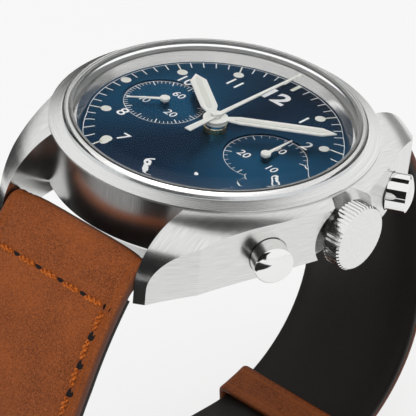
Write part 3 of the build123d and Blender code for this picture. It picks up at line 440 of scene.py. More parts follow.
# Painted reflection: the crystal's clear walls are opaque pale metal, for the bright edge the glass shows
crystal_wall_glint = brushed_steel("crystal_wall_glint", frosted_lines, 0.86, 0.78, (0.12, 0.2), 0.002, GLINT_TINT)
dial_blue = sunray_dial("dial_blue", (0.003, 0.014, 0.034), (0.008, 0.075, 0.15), 0.4)
white_print = lacquer("white_print", (0.95, 0.96, 0.96))
cream = lacquer("cream", (0.93, 0.93, 0.88), 0.3)
lume = lacquer("lume", (0.82, 0.83, 0.76), 0.5)
steel_flange = brushed_steel("steel_flange", ring_lines, 0.62, 0.55, (0.12, 0.2), 0.002)
BROWN = (0.26, 0.065, 0.011)
DARK_BROWN = (0.07, 0.016, 0.004)
BURNISHED = (0.1, 0.036, 0.02)
CREASED = (0.22, 0.05, 0.006)
brown = leather("brown_leather", BROWN, DARK_BROWN, BURNISHED, CREASED)
black_leather = lining_leather()
thread = thread_material()
# Painted shade for the inside of the stitch holes
hole_shade_paint = lacquer("stitch_hole_shade", (0.004, 0.002, 0.002), 0.9)


# Mesh helpers
def link(name, mesh, made, body="watch", smooth=True):
    """Show a mesh as a piece that rides on a body."""
    mesh.materials.clear()
    mesh.materials.append(made)
    if smooth:
        mesh.shade_smooth()
    piece = added(name, mesh)
    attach(piece, body)
    return piece


def mesh_from(name, vertices, faces, uvs=None):
    """A mesh with outward normals and, if given, a UV place for each vertex."""
    mesh = bpy.data.meshes.new(name)
    mesh.from_pydata(vertices, [], faces)
    if uvs:
        layer = mesh.uv_layers.new(name="UVMap")
        for loop in mesh.loops:
            layer.data[loop.index].uv = uvs[loop.vertex_index]
    shell = bmesh.new()
    shell.from_mesh(mesh)
    bmesh.ops.recalc_face_normals(shell, faces=shell.faces)
    shell.to_mesh(mesh)
    shell.free()
    return mesh


def loft(rings, closed=False):
    """Quads between rings of as many points each."""
    count = len(rings[0])
    faces = []
    pairs = len(rings) if closed else len(rings) - 1
    for ring in range(pairs):
        after = (ring + 1) % len(rings)
        for corner in range(count):
            ahead = (corner + 1) % count
            first = (ring * count + corner, ring * count + ahead)
            faces.append((*first, after * count + ahead, after * count + corner))
    return faces


def turned_mesh(name, profile, steps, to_world):
    """A closed solid of revolution. to_world takes a point of the profile and an angle."""
    vertices = []
    for point in profile:
        for step in range(steps):
            vertices.append(to_world(*point, 2 * pi * step / steps))
    faces = loft([range(steps)] * len(profile))
    last = (len(profile) - 1) * steps
    faces.append(tuple(range(steps)))
    faces.append(tuple(range(last, last + steps)))
    return mesh_from(name, vertices, faces)


def along_arc(centre, radius, start, end, steps):
    """Points on an arc of a strap half's section, both ends included."""
    angles = [radians(start + (end - start) * step / steps) for step in range(steps + 1)]
    return [(centre[0] + radius * cos(a), centre[1] + radius * sin(a)) for a in angles]


# Strap halves: stations of (outer point, inner point) from the nose down
rise = SIDE_DEPTH + SPRING_BAR[1]
inner_lean = SPRING_BAR[0] - LOOP_HALF_WIDTH
inner_radius = (inner_lean**2 + rise**2 - NOSE_RADIUS**2) / (2 * (NOSE_RADIUS - inner_lean))
inner_centre = (LOOP_HALF_WIDTH - inner_radius, -SIDE_DEPTH)
inner_angle = degrees(atan2(rise, SPRING_BAR[0] - inner_centre[0]))
outer_lean = inner_lean - THICKNESS
outer_radius = -(outer_lean**2 + rise**2 - NOSE_RADIUS**2) / (2 * (NOSE_RADIUS + outer_lean))
outer_centre = (LOOP_HALF_WIDTH + THICKNESS - outer_radius, -SIDE_DEPTH)
outer_angle = degrees(atan2(rise, SPRING_BAR[0] - outer_centre[0]))
SIDE_STEPS = 56


def nose_stations():
    """Round the spring bar, from the wrist's side to the outside."""
    turn_angles = (180 + inner_angle, outer_angle + 12, 16)
    outer = along_arc(SPRING_BAR, NOSE_RADIUS, *turn_angles)
    return list(zip(outer, along_arc(SPRING_BAR, SPRING_BAR_HOLE, *turn_angles)))


def side_stations():
    """From the nose down to the widest place, and round the corner below it."""
    outer = along_arc(outer_centre, outer_radius, outer_angle, 0, SIDE_STEPS)
    inner = along_arc(inner_centre, inner_radius, inner_angle, 0, SIDE_STEPS)
    corner = (CORNER_Y, -SIDE_DEPTH)
    outer += along_arc(corner, CORNER_RADIUS + THICKNESS, 0, -90, 24)[1:]
    inner += along_arc(corner, CORNER_RADIUS, 0, -90, 24)[1:]
    return list(zip(outer, inner))


def level_stations(start, end, depth, steps):
    """Along a flat stretch, its first place left out."""
    places = [start + (end - start) * step / steps for step in range(1, steps + 1)]
    return [((place, -depth - THICKNESS), (place, -depth)) for place in places]


def long_stations():
    """The half with the holes: it bends out over the buckle's bar and ends round the far corner."""
    drop = OUTER_LAYER - LOOP_DEPTH
    run = BEND_START - BEND_END
    radius = (run**2 + drop**2) / (4 * drop)
    angle = degrees(asin(run / (2 * radius)))
    middle = THICKNESS / 2
    first = (BEND_START, -LOOP_DEPTH - radius - middle)
    second = (BEND_END, -OUTER_LAYER + radius - middle)
    stations = nose_stations() + side_stations()
    stations += level_stations(CORNER_Y, BEND_START, LOOP_DEPTH, 1)
    outer = along_arc(first, radius - middle, 90, 90 + angle, 5)[1:]
    outer += along_arc(second, radius + middle, angle - 90, -90, 5)[1:]
    inner = along_arc(first, radius + middle, 90, 90 + angle, 5)[1:]
    inner += along_arc(second, radius - middle, angle - 90, -90, 5)[1:]
    stations += list(zip(outer, inner))
    stations += level_stations(BEND_END, -CORNER_Y, OUTER_LAYER, 16)
    far_corner = (-CORNER_Y, -SIDE_DEPTH)
    tail = (-90, -90 - TAIL_ANGLE, 26)
    outer = along_arc(far_corner, OUTER_LAYER + THICKNESS - SIDE_DEPTH, *tail)[1:]
    return stations + list(zip(outer, along_arc(far_corner, OUTER_LAYER - SIDE_DEPTH, *tail)[1:]))


def short_stations(lining_only=False):
    """The half with the buckle: it ends in a loop round the buckle's bar."""
    end = SHORT_LINING_END if lining_only else BAR_Y
    stations = nose_stations() + side_stations() + level_stations(CORNER_Y, end, LOOP_DEPTH, 12)
    if not lining_only:
        bar = (BAR_Y, -LOOP_DEPTH - THICKNESS / 2)
        outer = along_arc(bar, THICKNESS / 2, -90, -262, 10)[1:]
        stations += list(zip(outer, along_arc(bar, BAR_RADIUS, -90, -262, 10)[1:]))
    return stations


def lengths_along(stations):
    """The length along the outside at each station, from where the side leaves the nose."""
    start = len(nose_stations())
    total = [0.0]
    for (before, _), (after, _) in zip(stations, stations[1:]):
        total.append(total[-1] + hypot(after[0] - before[0], after[1] - before[1]))
    return [value - total[start] for value in total]


def half_width(height):
    """A strap half's half width at a height."""
    share = (-height - TAPER_START) / (TAPER_END - TAPER_START)
    return HALF_WIDTH - (HALF_WIDTH - END_HALF_WIDTH) * min(1.0, max(0.0, share))


# The strap's section: (distance from the edge, drop of the outside, thickness at the edge, share of
# the extra thickness of the padded middle)
SECTION = [
    (0.0, 0.80, 1.62, 0.0),
    (0.05, 0.52, 1.80, 0.0),
    (0.2, 0.37, 1.88, 0.0),
    (0.45, 0.30, 1.90, 0.02),
    (0.75, 0.31, 1.90, 0.04),
    (0.98, 0.45, 1.90, 0.08),
    (1.18, 0.34, 1.90, 0.12),
    (1.5, 0.25, 1.90, 0.2),
    (1.8, 0.33, 1.90, 0.3),
    (2.15, 0.19, 1.90, 0.42),
    (3.0, 0.09, 1.90, 0.7),
    (4.2, 0.03, 1.90, 0.95),
    (6.5, 0.0, 1.90, 1.0),
]
ROW_PLACE = 4.75
ROW_WIDTH = 0.42
ROW_DEPTH = 0.2
EDGE_THICKNESS = 1.9


def drop_at(inset, place):
    """How far the outside lies below the full section, at a distance from the edge and along it."""
    drop = SECTION[-1][1]
    for (near, first, *_), (far, second, *_) in zip(SECTION, SECTION[1:]):
        if near <= inset <= far:
            drop = first + (second - first) * (inset - near) / (far - near)
            break
    if inset > SECTION[7][0]:
        drop += ROW_DEPTH * max(0.0, 1 - ((place - ROW_PLACE) / ROW_WIDTH) ** 2)
    return drop


def strap_piece(name, stations, side, made, layer, skip=0, tail=False):
    """Loft a strap half's leather or lining through its stations."""
    places = lengths_along(stations)
    vertices = []
    uvs = []
    rings = []
    for number in range(skip, len(stations)):
        outer, inner = stations[number]
        thick = hypot(outer[0] - inner[0], outer[1] - inner[1])
        across = ((inner[0] - outer[0]) / thick, (inner[1] - outer[1]) / thick)
        width = half_width(outer[1])
        if tail:
            left = places[-1] - places[number]
            if left < TAIL_CORNER:
                width -= TAIL_CORNER - sqrt(max(0.0, TAIL_CORNER**2 - (TAIL_CORNER - left) ** 2)) * 0.98
        lined = min(LINING, max(0.0, (number - len(nose_stations()) - 2) * 0.4))
        columns = []
        insets = [row[0] for row in SECTION]
        for inset, _, edge, share in SECTION:
            depth = min(edge, thick - 0.05) + share * max(0.0, thick - EDGE_THICKNESS)
            depth = min(depth, thick)
            top = min(drop_at(inset, places[number]), 0.5 * depth)
            cut = max(0.5 * (top + depth), depth - lined)
            columns.append((top, cut) if layer == "leather" else (cut, depth))
        flat = [(-width + inset, col) for inset, col in zip(insets, columns)]
        flat += [(width - inset, col) for inset, col in reversed(list(zip(insets, columns)))]
        loop = [(x, col[0]) for x, col in flat] + [(x, col[1]) for x, col in reversed(flat)]
        rings.append(loop)
        for x, depth in loop:
            d = outer[0] + across[0] * depth
            h = outer[1] + across[1] * depth
            vertices.append((x * MM, side * d * MM, (DIAL_Z + h) * MM))
            uvs.append(((width - abs(x)) / 10, places[number] / 10))
    faces = loft(rings)
    count = len(rings[0])
    for start in (0, (len(rings) - 1) * count):
        for corner in range(count // 2 - 1):
            opposite = start + count - 1 - corner
            faces.append((start + corner, start + corner + 1, opposite - 1, opposite))
    return link(name, mesh_from(name, vertices, faces, uvs), made)


def cut(piece, cutter_mesh):
    """Cut a closed mesh out of a piece."""
    cutter = added("cutter", cutter_mesh)
    modifier = piece.modifiers.new("cut", "BOOLEAN")
    modifier.operation = "DIFFERENCE"
    modifier.solver = "EXACT"
    modifier.object = cutter
    mesh = drawn_mesh(piece)
    piece.modifiers.clear()
    piece.data = mesh
    bpy.data.objects.remove(cutter)


def slot_and_holes(slot, holes):
    """The shapes that cut the tongue's slot and the round holes of a strap half."""
    shape = bmesh.new()
    start, end = slot
    box = Matrix.Translation((0, (start + end) / 2 * MM, 0)) @ Matrix.Diagonal(
        (2 * SLOT_HALF_WIDTH * MM, (end - start) * MM, 2 * CUTTER_HEIGHT * MM, 1)
    )
    bmesh.ops.create_cube(shape, size=1, matrix=box)
    for y in holes:
        bmesh.ops.create_cone(
            shape,
            cap_ends=True,
            segments=20,
            radius1=HOLE_RADIUS * MM,
            radius2=HOLE_RADIUS * MM,
            depth=CUTTER_HEIGHT * MM,
            matrix=Matrix.Translation((0, y * MM, 0)),
        )
    return mesh_of("cutter", shape)


LINING_SKIP = len(nose_stations()) + 5
long_half = long_stations()
long_leather = strap_piece("long_leather", long_half, -1, brown, "leather", tail=True)
long_lining = strap_piece("long_lining", long_half, -1, black_leather, "lining", LINING_SKIP, tail=True)
short_half = short_stations()
short_leather = strap_piece("short_leather", short_half, 1, brown, "leather")
short_lining = strap_piece("short_lining", short_stations(True), 1, black_leather, "lining", LINING_SKIP)
cut(long_leather, slot_and_holes(LONG_SLOT, HOLE_PLACES))
cut(long_lining, slot_and_holes(LONG_SLOT, HOLE_PLACES))
cut(short_leather, slot_and_holes(SHORT_SLOT, ()))
for piece, node_name in (
    (long_leather, "strap_long_leather"),
    (long_lining, "strap_long_lining"),
    (short_leather, "strap_short_leather"),
    (short_lining, "strap_short_lining"),
):
    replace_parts(piece, node_name)


# Stitches: a row across below the nose and a column down each side. A thread fills the middle share
# of the way between two holes
STITCH_PITCH = 3.46
ROW_HALF = 8.55
COLUMN_INSET = 1.8
COLUMN_START_SHIFT = 0.25
LONG_COLUMN_END = 54.0
SHORT_COLUMN_END = 46.0
THREAD_SHARE = 0.68
THREAD_RISE = 0.25
THREAD_SINK = 0.11
PLY_RADIUS = 0.2
PLY_OFFSET = 0.17
PLY_TURNS = 1.6
PLY_STEPS = 16
PLY_SIDES = 6
STITCH_HOLE_RADIUS = 0.6
STITCH_HOLE_SIDES = 12


def outside_at(stations, places, place, x):
    """(point, outward normal) on a strap half's outside, in (distance, height)."""
    number = max(i for i in range(len(places) - 1) if places[i] <= place)
    share = (place - places[number]) / (places[number + 1] - places[number])
    ends = []
    for outer, inner in stations[number : number + 2]:
        thick = hypot(outer[0] - inner[0], outer[1] - inner[1])
        ends.append((outer, ((outer[0] - inner[0]) / thick, (outer[1] - inner[1]) / thick)))
    (first, first_out), (second, second_out) = ends
    out = tuple(a + (b - a) * share for a, b in zip(first_out, second_out))
    at = tuple(a + (b - a) * share for a, b in zip(first, second))
    drop = drop_at(half_width(at[1]) - abs(x), place)
    return (at[0] - out[0] * drop, at[1] - out[1] * drop), out


def on_strap(stations, places, side, place, x, lift):
    """A world point above a strap half's outside, and the outward direction."""
    (d, h), out = outside_at(stations, places, place, x)
    point = Vector((x, side * (d + out[0] * lift), DIAL_Z + h + out[1] * lift)) * MM
    return point, Vector((0, side * out[0], out[1])).normalized()


def stitch_runs(stations, places, last):
    """The holes of the row and of the two columns, as lists of (length along, x)."""
    count = round(2 * ROW_HALF / STITCH_PITCH)
    row = [(ROW_PLACE, -ROW_HALF + 2 * ROW_HALF * i / count) for i in range(count + 1)]
    runs = [row]
    for sign in (-1, 1):
        column = []
        for i in range(int((last - ROW_PLACE) / STITCH_PITCH) + 1):
            place = ROW_PLACE + i * STITCH_PITCH
            (_, h), _ = outside_at(stations, places, place, 0)
            shift = COLUMN_START_SHIFT if i == 0 else 0
            column.append((place, sign * (half_width(h) - COLUMN_INSET + shift)))
        runs.append(column)
    return runs


def ply_rings(strap, start, end, ply):
    """Rings of points round one ply between two holes, each given as (length along, x)."""
    rings = []
    for step in range(PLY_STEPS + 1):
        share = step / PLY_STEPS
        inner_share = (1 - THREAD_SHARE) / 2 + THREAD_SHARE * share
        lift = THREAD_RISE * sqrt(sin(pi * min(0.97, max(0.03, share)))) - THREAD_SINK
        run = (end[0] - start[0], end[1] - start[1])
        place = start[0] + run[0] * inner_share
        x = start[1] + run[1] * inner_share
        point, out = on_strap(*strap, place, x, lift)
        ahead, _ = on_strap(*strap, place + run[0] * 0.01 + 0.001, x + run[1] * 0.01, lift)
        forward = (ahead - point).normalized()
        across = forward.cross(out).normalized()
        phase = 2 * pi * (PLY_TURNS * share + 0.5 * ply)
        centre = point + (out * cos(phase) + across * sin(phase)) * PLY_OFFSET * MM
        swell = PLY_RADIUS * (0.75 + 0.25 * sin(pi * share))
        ring = []
        for side in range(PLY_SIDES):
            angle = 2 * pi * side / PLY_SIDES
            ring.append(centre + (out * cos(angle) + across * sin(angle)) * swell * MM)
        rings.append(ring)
    return rings


def stitches(name, stations, side, last):
    """Two twisted plies between each pair of holes, and a dark cone at each hole as painted shade."""
    places = lengths_along(stations)
    strap = (stations, places, side)
    strands = bmesh.new()
    shade_marks = bmesh.new()
    for run in stitch_runs(stations, places, last):
        for start, end in zip(run, run[1:]):
            for ply in (0, 1):
                rings = []
                for ring in ply_rings(strap, start, end, ply):
                    rings.append([strands.verts.new(at) for at in ring])
                for first, second in zip(rings, rings[1:]):
                    for corner in range(PLY_SIDES):
                        ahead = (corner + 1) % PLY_SIDES
                        strands.faces.new((first[corner], first[ahead], second[ahead], second[corner]))
                strands.faces.new(rings[0])
                strands.faces.new(rings[-1])
        # Painted shade: a near-black cone over each hole stands for the shade inside it
        for place, x in run:
            point, out = on_strap(*strap, place, x, 0.05)
            across = Vector((1, 0, 0))
            forward = out.cross(across)
            rim = []
            for corner in range(STITCH_HOLE_SIDES):
                angle = 2 * pi * corner / STITCH_HOLE_SIDES
                reach = STITCH_HOLE_RADIUS + 0.05 * sin(3 * angle + 7 * place + 5 * x)
                outward = across * cos(angle) + forward * sin(angle)
                rim.append(shade_marks.verts.new(point + outward * reach * MM))
            top = shade_marks.verts.new(point + out * 0.08 * MM)
            for corner in range(STITCH_HOLE_SIDES):
                shade_marks.faces.new((rim[corner], rim[(corner + 1) % STITCH_HOLE_SIDES], top))
    for part, shape, made in (("thread", strands, thread), ("holes", shade_marks, hole_shade_paint)):
        bmesh.ops.recalc_face_normals(shape, faces=shape.faces)
        mesh = mesh_of(f"{name}_{part}", shape)
        link(f"{name}_{part}", mesh, made)


stitches("long_stitch", long_half, -1, LONG_COLUMN_END)
stitches("short_stitch", short_half, 1, SHORT_COLUMN_END)


# Keepers: leather bands round both layers. The band's section is (share of the length, height)
KEEPER_CORNER = 0.35
KEEPER_SIDE = [(0.5, 0.1), (0.5, 0.55), (0.46, 0.74), (0.4, 0.79), (0.2, 0.8)]
KEEPER_BAND = [(-along, height) for along, height in KEEPER_SIDE]
KEEPER_BAND += [*reversed(KEEPER_SIDE), (0.46, 0.0), (-0.46, 0.0)]


def keeper(name, body, place):
    """A band round both strap layers; place maps (x, depth, along) to a world point."""
    corner = KEEPER_CORNER
    half = END_HALF_WIDTH + KEEPER_GAP - corner
    top = LOOP_DEPTH - KEEPER_GAP + corner
    bottom = OUTER_LAYER + THICKNESS + KEEPER_GAP - corner
    centres = [(half, bottom, 0), (-half, bottom, 90), (-half, top, 180), (half, top, 270)]
    path = []
    for index, (x, depth, start) in enumerate(centres):
        for step in range(7):
            angle = radians(start + 90 * step / 6)
            out = (cos(angle), sin(angle))
            path.append(((x + corner * out[0], depth + corner * out[1]), out))
        next_x, next_depth, _ = centres[(index + 1) % 4]
        for step in range(1, 12):
            share = step / 12
            mid = (x + (next_x - x) * share, depth + (next_depth - depth) * share)
            path.append(((mid[0] + corner * out[0], mid[1] + corner * out[1]), out))
    vertices = []
    uvs = []
    length = 0.0
    for index, ((x, depth), out) in enumerate(path):
        length += hypot(x - path[index - 1][0][0], depth - path[index - 1][0][1]) if index else 0.0
        for along, height in KEEPER_BAND:
            vertices.append(place(x + out[0] * height, depth + out[1] * height, along * KEEPER_LENGTH))
            uvs.append(((0.5 - abs(along)) * KEEPER_LENGTH / 10 + 0.01, length / 10))
    rings = [KEEPER_BAND] * len(path)
    mesh = mesh_from(name, vertices, loft(rings, closed=True), uvs)
    piece = link(name, mesh, brown_plain, body)
    return piece


def straight_place(x, depth, along):
    """A place on the fixed keeper."""
    return (x * MM, (FIXED_KEEPER_Y + along) * MM, (DIAL_Z - depth) * MM)


def curved_place(x, depth, along):
    """A place on the free keeper, which follows the strap's corner."""
    angle = radians(FREE_KEEPER_ANGLE) + along / CORNER_RADIUS
    reach = depth - SIDE_DEPTH
    y = CORNER_Y + reach * sin(angle)
    return (x * MM, y * MM, (DIAL_Z - SIDE_DEPTH - reach * cos(angle)) * MM)


brown_plain = leather("keeper_leather", BROWN, DARK_BROWN, DARK_BROWN, BROWN)
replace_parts(keeper("fixed_keeper", "watch", straight_place), "keeper_fixed")
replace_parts(keeper("free_keeper_loop", "free_keeper", curved_place), "keeper_free")


# Crystal: a box crystal with a rounded shoulder, its walls where it sits drawn as pale metal: a painted
# reflection
def quarter(centre, radii, start, end, steps):
    """Points on an ellipse's arc."""
    circle = along_arc((0, 0), 1, start, end, steps)
    return [(centre[0] + radii[0] * x, centre[1] + radii[1] * y) for x, y in circle]


def dome(reach, top, fall, steps):
    """Points of a slight dome, from near its middle outwards, short of its edge."""
    return [(reach * i / steps, top - fall * (i / steps) ** 2) for i in range(1, steps)]


def crystal_place(reach, height, angle):
    """A place on the crystal."""
    return (reach * cos(angle) * MM, reach * sin(angle) * MM, (DIAL_Z + height) * MM)


CRYSTAL_STEPS = 144
SHOULDER = (14.6, 2.74)
SHOULDER_RADII = (2.85, 1.0)
OUTSIDE_TOP = 4.0
OUTSIDE_FALL = 0.26
INNER_CORNER = (14.2, 1.75)
INNER_CORNER_RADII = (2.2, 0.5)
INSIDE_TOP = 2.4
INSIDE_FALL = 0.15
WALL_RADII = (17.45, 16.4)
WALL_FOOT = 1.2
outside = dome(SHOULDER[0], OUTSIDE_TOP, OUTSIDE_FALL, 10)
outside += quarter(SHOULDER, SHOULDER_RADII, 90, 0, 12)
inside = quarter(INNER_CORNER, INNER_CORNER_RADII, 0, 90, 8)
inside += reversed(dome(INNER_CORNER[0], INSIDE_TOP, INSIDE_FALL, 10))
profile = [*outside, *((radius, WALL_FOOT) for radius in WALL_RADII), *inside]
crystal_mesh = turned_mesh("crystal_box", profile, CRYSTAL_STEPS, crystal_place)
crystal_box = link("crystal_box", crystal_mesh, crystal_clear)
crystal_box.data.materials.append(crystal_wall_glint)
# The walls where the crystal sits take the painted reflection, flat shaded
wall_start = (len(outside) - 1) * CRYSTAL_STEPS
wall_end = wall_start + 4 * CRYSTAL_STEPS
for face in crystal_box.data.polygons:
    if wall_start <= min(face.vertices) and max(face.vertices) < wall_end:
        face.material_index = 1
        face.use_smooth = False
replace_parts(crystal_box, "crystal")


# Pushers: the solids' caps and stems, with a rounder face and a small polished edge. The profile is
# (distance from the hand axis, distance from the pusher's own axis)
PUSHER_STEPS = 96
PUSHER_DEPTH = 2.85
PUSHER_RADIUS = 2.2
PUSHER_FACE = 23.5
PUSHER_RISE = 0.5
PUSHER_EDGE = (0.14, 0.12)
PUSHER_BACK = 20.5
PUSHER_BACK_EDGE = 0.08
PUSHER_CAVITY = (22.9, 1.75)
PUSHER_STEM = (15.0, 0.7)
rim_place = PUSHER_FACE - PUSHER_RISE
rim_radius = PUSHER_RADIUS - PUSHER_EDGE[1]
pusher_profile = [
    PUSHER_STEM,
    (PUSHER_CAVITY[0], PUSHER_STEM[1]),
    PUSHER_CAVITY,
    (PUSHER_BACK, PUSHER_CAVITY[1]),
    (PUSHER_BACK, PUSHER_RADIUS - PUSHER_BACK_EDGE),
    (PUSHER_BACK + PUSHER_BACK_EDGE, PUSHER_RADIUS),
    (rim_place - PUSHER_EDGE[0], PUSHER_RADIUS),
    (rim_place, rim_radius),
]
for reach, along in reversed(dome(rim_radius, PUSHER_FACE, PUSHER_RISE, 12)):
    pusher_profile.append((along, reach))


def domed_pusher(name, body, clock_turn):
    """A cap and stem turned about the pusher's own axis."""
    turn = radians(clock_turn)

    def pusher_place(along, reach, spin):
        aside = reach * sin(spin)
        x = along * cos(turn) - aside * sin(turn)
        y = along * sin(turn) + aside * cos(turn)
        return (x * MM, y * MM, (DIAL_Z - PUSHER_DEPTH + reach * cos(spin)) * MM)

    mesh = turned_mesh(name, pusher_profile, PUSHER_STEPS, pusher_place)
    cap = link(name, mesh, steel_polished, body)
    cap.data.set_sharp_from_angle(angle=radians(30))
    return cap


for side, angle in (("start", 30), ("reset", -30)):
    cap = domed_pusher(f"{side}_pusher_cap", f"{side}_pusher", angle)
    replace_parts(cap, f"{side}_pusher")


# Dial printing: thin plates just above the dial's face
def plate(shape, outline, height):
    """Add a flat polygon, in millimetres on the dial."""
    shape.faces.new([shape.verts.new((x * MM, y * MM, (DIAL_Z + height) * MM)) for x, y in outline])


def dial_place(angle, reach, aside=0.0, centre=0.0):
    """A place on the dial: out from a centre at a clock angle in degrees, and to the right of that."""
    turn = radians(angle)
    x = centre + reach * sin(turn) + aside * cos(turn)
    return x, reach * cos(turn) - aside * sin(turn)


def ring(shape, centre, radius, width, height, steps):
    """Add a thin circle."""
    inner, outer = radius - width / 2, radius + width / 2
    for step in range(steps):
        first, second = 360 * step / steps, 360 * (step + 1) / steps
        corners = ((first, inner), (first, outer), (second, outer), (second, inner))
        plate(shape, [dial_place(angle, reach, 0.0, centre) for angle, reach in corners], height)


def tick(shape, centre, angle, start, end, width, height):
    """Add a mark that points away from a centre, at a clock angle."""
    half = width / 2
    corners = ((start, -half), (start, half), (end, half), (end, -half))
    plate(shape, [dial_place(angle, reach, aside, centre) for reach, aside in corners], height)


def dot(shape, angle, reach, height):
    """Add a round mark at a clock angle."""
    middle = dial_place(angle, reach)
    plate(shape, along_arc(middle, DOT_RADIUS, 0, 360, DOT_SIDES)[:-1], height)


def print_piece(name, shape, made):
    """Show a flat shape on the dial, facing up."""
    for face in shape.faces:
        face.normal_update()
        if face.normal.z < 0:
            face.normal_flip()
    mesh = mesh_of(name, shape)
    link(name, mesh, made, smooth=False)


MINUTE_TRACK = 14.71
MINUTE_TICK = 1.1
DOT_RADIUS = 0.62
DOT_SIDES = 28
DOT_REACH = 12.68
SIDE_DOT_REACH = 14.0
HOUR_TICK_START = 13.1
COUNTER_TRACK = 4.72
minute_marks = bmesh.new()
ring(minute_marks, 0, MINUTE_TRACK, 0.07, PRINT_HEIGHT, 180)
for minute in range(60):
    if minute % 5:
        tick(minute_marks, 0, 6 * minute, MINUTE_TRACK - MINUTE_TICK, MINUTE_TRACK, 0.13, PRINT_HEIGHT)
print_piece("minute_track", minute_marks, white_print)

hour_marks = bmesh.new()
hour_height = PRINT_HEIGHT + 0.01
for hour in range(12):
    angle = 30 * hour
    if hour:
        dot(hour_marks, angle, SIDE_DOT_REACH if hour in (3, 9) else DOT_REACH, hour_height)
    else:
        tick(hour_marks, 0, angle, HOUR_TICK_START, 14.8, 0.5, hour_height)
    if hour % 3:
        tick(hour_marks, 0, angle, HOUR_TICK_START, 14.75, 0.18, hour_height)
print_piece("hour_marks", hour_marks, lume)

counter_marks = bmesh.new()
counter_height = PRINT_HEIGHT - COUNTER_SINK
for centre, ticks in ((-COUNTER_X, 60), (COUNTER_X, 30)):
    ring(counter_marks, centre, COUNTER_TRACK, 0.06, counter_height, 96)
    for number in range(ticks):
        length, width = (0.5, 0.07) if number % 5 else (0.85, 0.12)
        angle = 360 * number / ticks
        tick(counter_marks, centre, angle, COUNTER_TRACK - length, COUNTER_TRACK, width, counter_height)
print_piece("counter_tracks", counter_marks, white_print)


def numeral(name, text, place, height, made, bold, above=PRINT_HEIGHT, stretch=1.0):
    """A number printed upright on the dial, centred on a place."""
    curve = bpy.data.curves.new(name, "FONT")
    curve.body = text
    curve.size = 1.0
    curve.offset = bold
    curve.resolution_u = 4
    maker = added(name, curve)
    mesh = drawn_mesh(maker)
    bpy.data.objects.remove(maker)
    low = [min(v.co[i] for v in mesh.vertices) for i in (0, 1)]
    high = [max(v.co[i] for v in mesh.vertices) for i in (0, 1)]
    scale = height / (high[1] - low[1])
    for vertex in mesh.vertices:
        x = (vertex.co.x - (low[0] + high[0]) / 2) * scale * stretch + place[0]
        y = (vertex.co.y - (low[1] + high[1]) / 2) * scale + place[1]
        vertex.co = (x * MM, y * MM, (DIAL_Z + above) * MM)
    mesh.name = name
    link(name, mesh, made, smooth=False)


NUMERAL_REACH = 10.7
COUNTER_NUMERAL_REACH = 2.45
for hour in (1, 2, 4, 5, 6, 7, 8, 10, 11):
    numeral(f"hour_{hour}", str(hour), dial_place(30 * hour, NUMERAL_REACH), 1.65, white_print, 0.012)
numeral("hour_12", "12", (0, 10.75), 2.5, white_print, 0.035, stretch=1.15)
for name, centre, numbers in (
    ("seconds", -COUNTER_X, ("60", "20", "40")),
    ("minutes", COUNTER_X, ("30", "10", "20")),
):
    for index, text in enumerate(numbers):
        place = dial_place(120 * index, COUNTER_NUMERAL_REACH, 0.0, centre)
        numeral(f"{name}_{text}", text, place, 1.15, white_print, 0.01, counter_height)


# Light-coloured inlays on the hour and minute hands
def inlay(name, body, hand, shares, tip):
    """A thin plate on a hand, narrower than the hand; shares are (share of length, share of width)."""
    length, width, angle, height = hand
    right_side = [dial_place(angle, share * length, wide * width / 2) for share, wide in shares]
    left_side = [dial_place(angle, share * length, -wide * width / 2) for share, wide in shares]
    outline = [*right_side, dial_place(angle, tip * length), *reversed(left_side)]
    shape = bmesh.new()
    top, base = (
        [shape.verts.new((x * MM, y * MM, (DIAL_Z + height + lift) * MM)) for x, y in outline]
        for lift in INLAY_LIFTS
    )
    shape.faces.new(top)
    for i in range(len(top)):
        ahead = (i + 1) % len(top)
        shape.faces.new((base[i], base[ahead], top[ahead], top[i]))
    bmesh.ops.recalc_face_normals(shape, faces=shape.faces)
    mesh = mesh_of(name, shape)
    link(name, mesh, lume, body, smooth=False)


# Hands: (length, width, clock angle, height of the top face)
HOUR_HAND = (10.45, 0.97, 304.5, 1.1)
MINUTE_HAND = (13.84, 0.8, 54.6, 1.45)
INLAY_LIFTS = (0.05, -0.02)
HOUR_SHARES = [(0.26, 0.42), (0.31, 0.72), (0.85, 0.72)]
MINUTE_SHARES = [(0.16, 0.4), (0.21, 0.66), (0.69, 0.72), (0.87, 0.72)]
inlay("hour_inlay", "hour", HOUR_HAND, HOUR_SHARES, 0.95)
inlay("minute_inlay", "minute", MINUTE_HAND, MINUTE_SHARES, 0.955)

# Materials of the solids that are shown as they are
dress(steel_case, "case_middle")
dress(steel_ring, "bezel")
dress(steel_back, "case_back", "movement_ring")
dress(crown_steel, "crown")
dress(steel_polished, "hour_collet", "minute_collet")
dress(steel_plain, "buckle_frame", "buckle_tongue", "buckle_bar", "spring_bar_12", "spring_bar_6")
dress(steel_plain, "crown_tube", "start_pusher_tube", "reset_pusher_tube", "cannon_pinion")
dress(steel_plain, "winding_stem", "winding_pinion", "start_pusher_spring", "reset_pusher_spring")
dress(steel_plain, "chrono_seconds_arbor", "small_seconds_arbor", "minute_counter_arbor")
dress(rubber_black, "case_back_gasket", "crown_gasket")
dress(nylon, "crystal_gasket")
dress(dial_blue, "dial")
dress(steel_flange, "dial_flange")
dress(cream, "hour_hand", "minute_hand", "chrono_seconds_hand")
dress(cream, "small_seconds_hand", "minute_counter_hand")
dress(brass, "hour_wheel", "movement_plate", "train_bridge")
dress(brass, "balance_cock", "mainspring_barrel", "balance_wheel")


# Floor, with the camera seeing it near white
def seen_rays(tree):
    """1 for rays from the camera, a reflection or a refraction, and 0 for the rest."""
    path = node(tree, "LightPath").outputs
    seen = maths(tree, "MAXIMUM", path["Is Camera Ray"], path["Is Glossy Ray"])
    return maths(tree, "MAXIMUM", seen, path["Is Transmission Ray"])


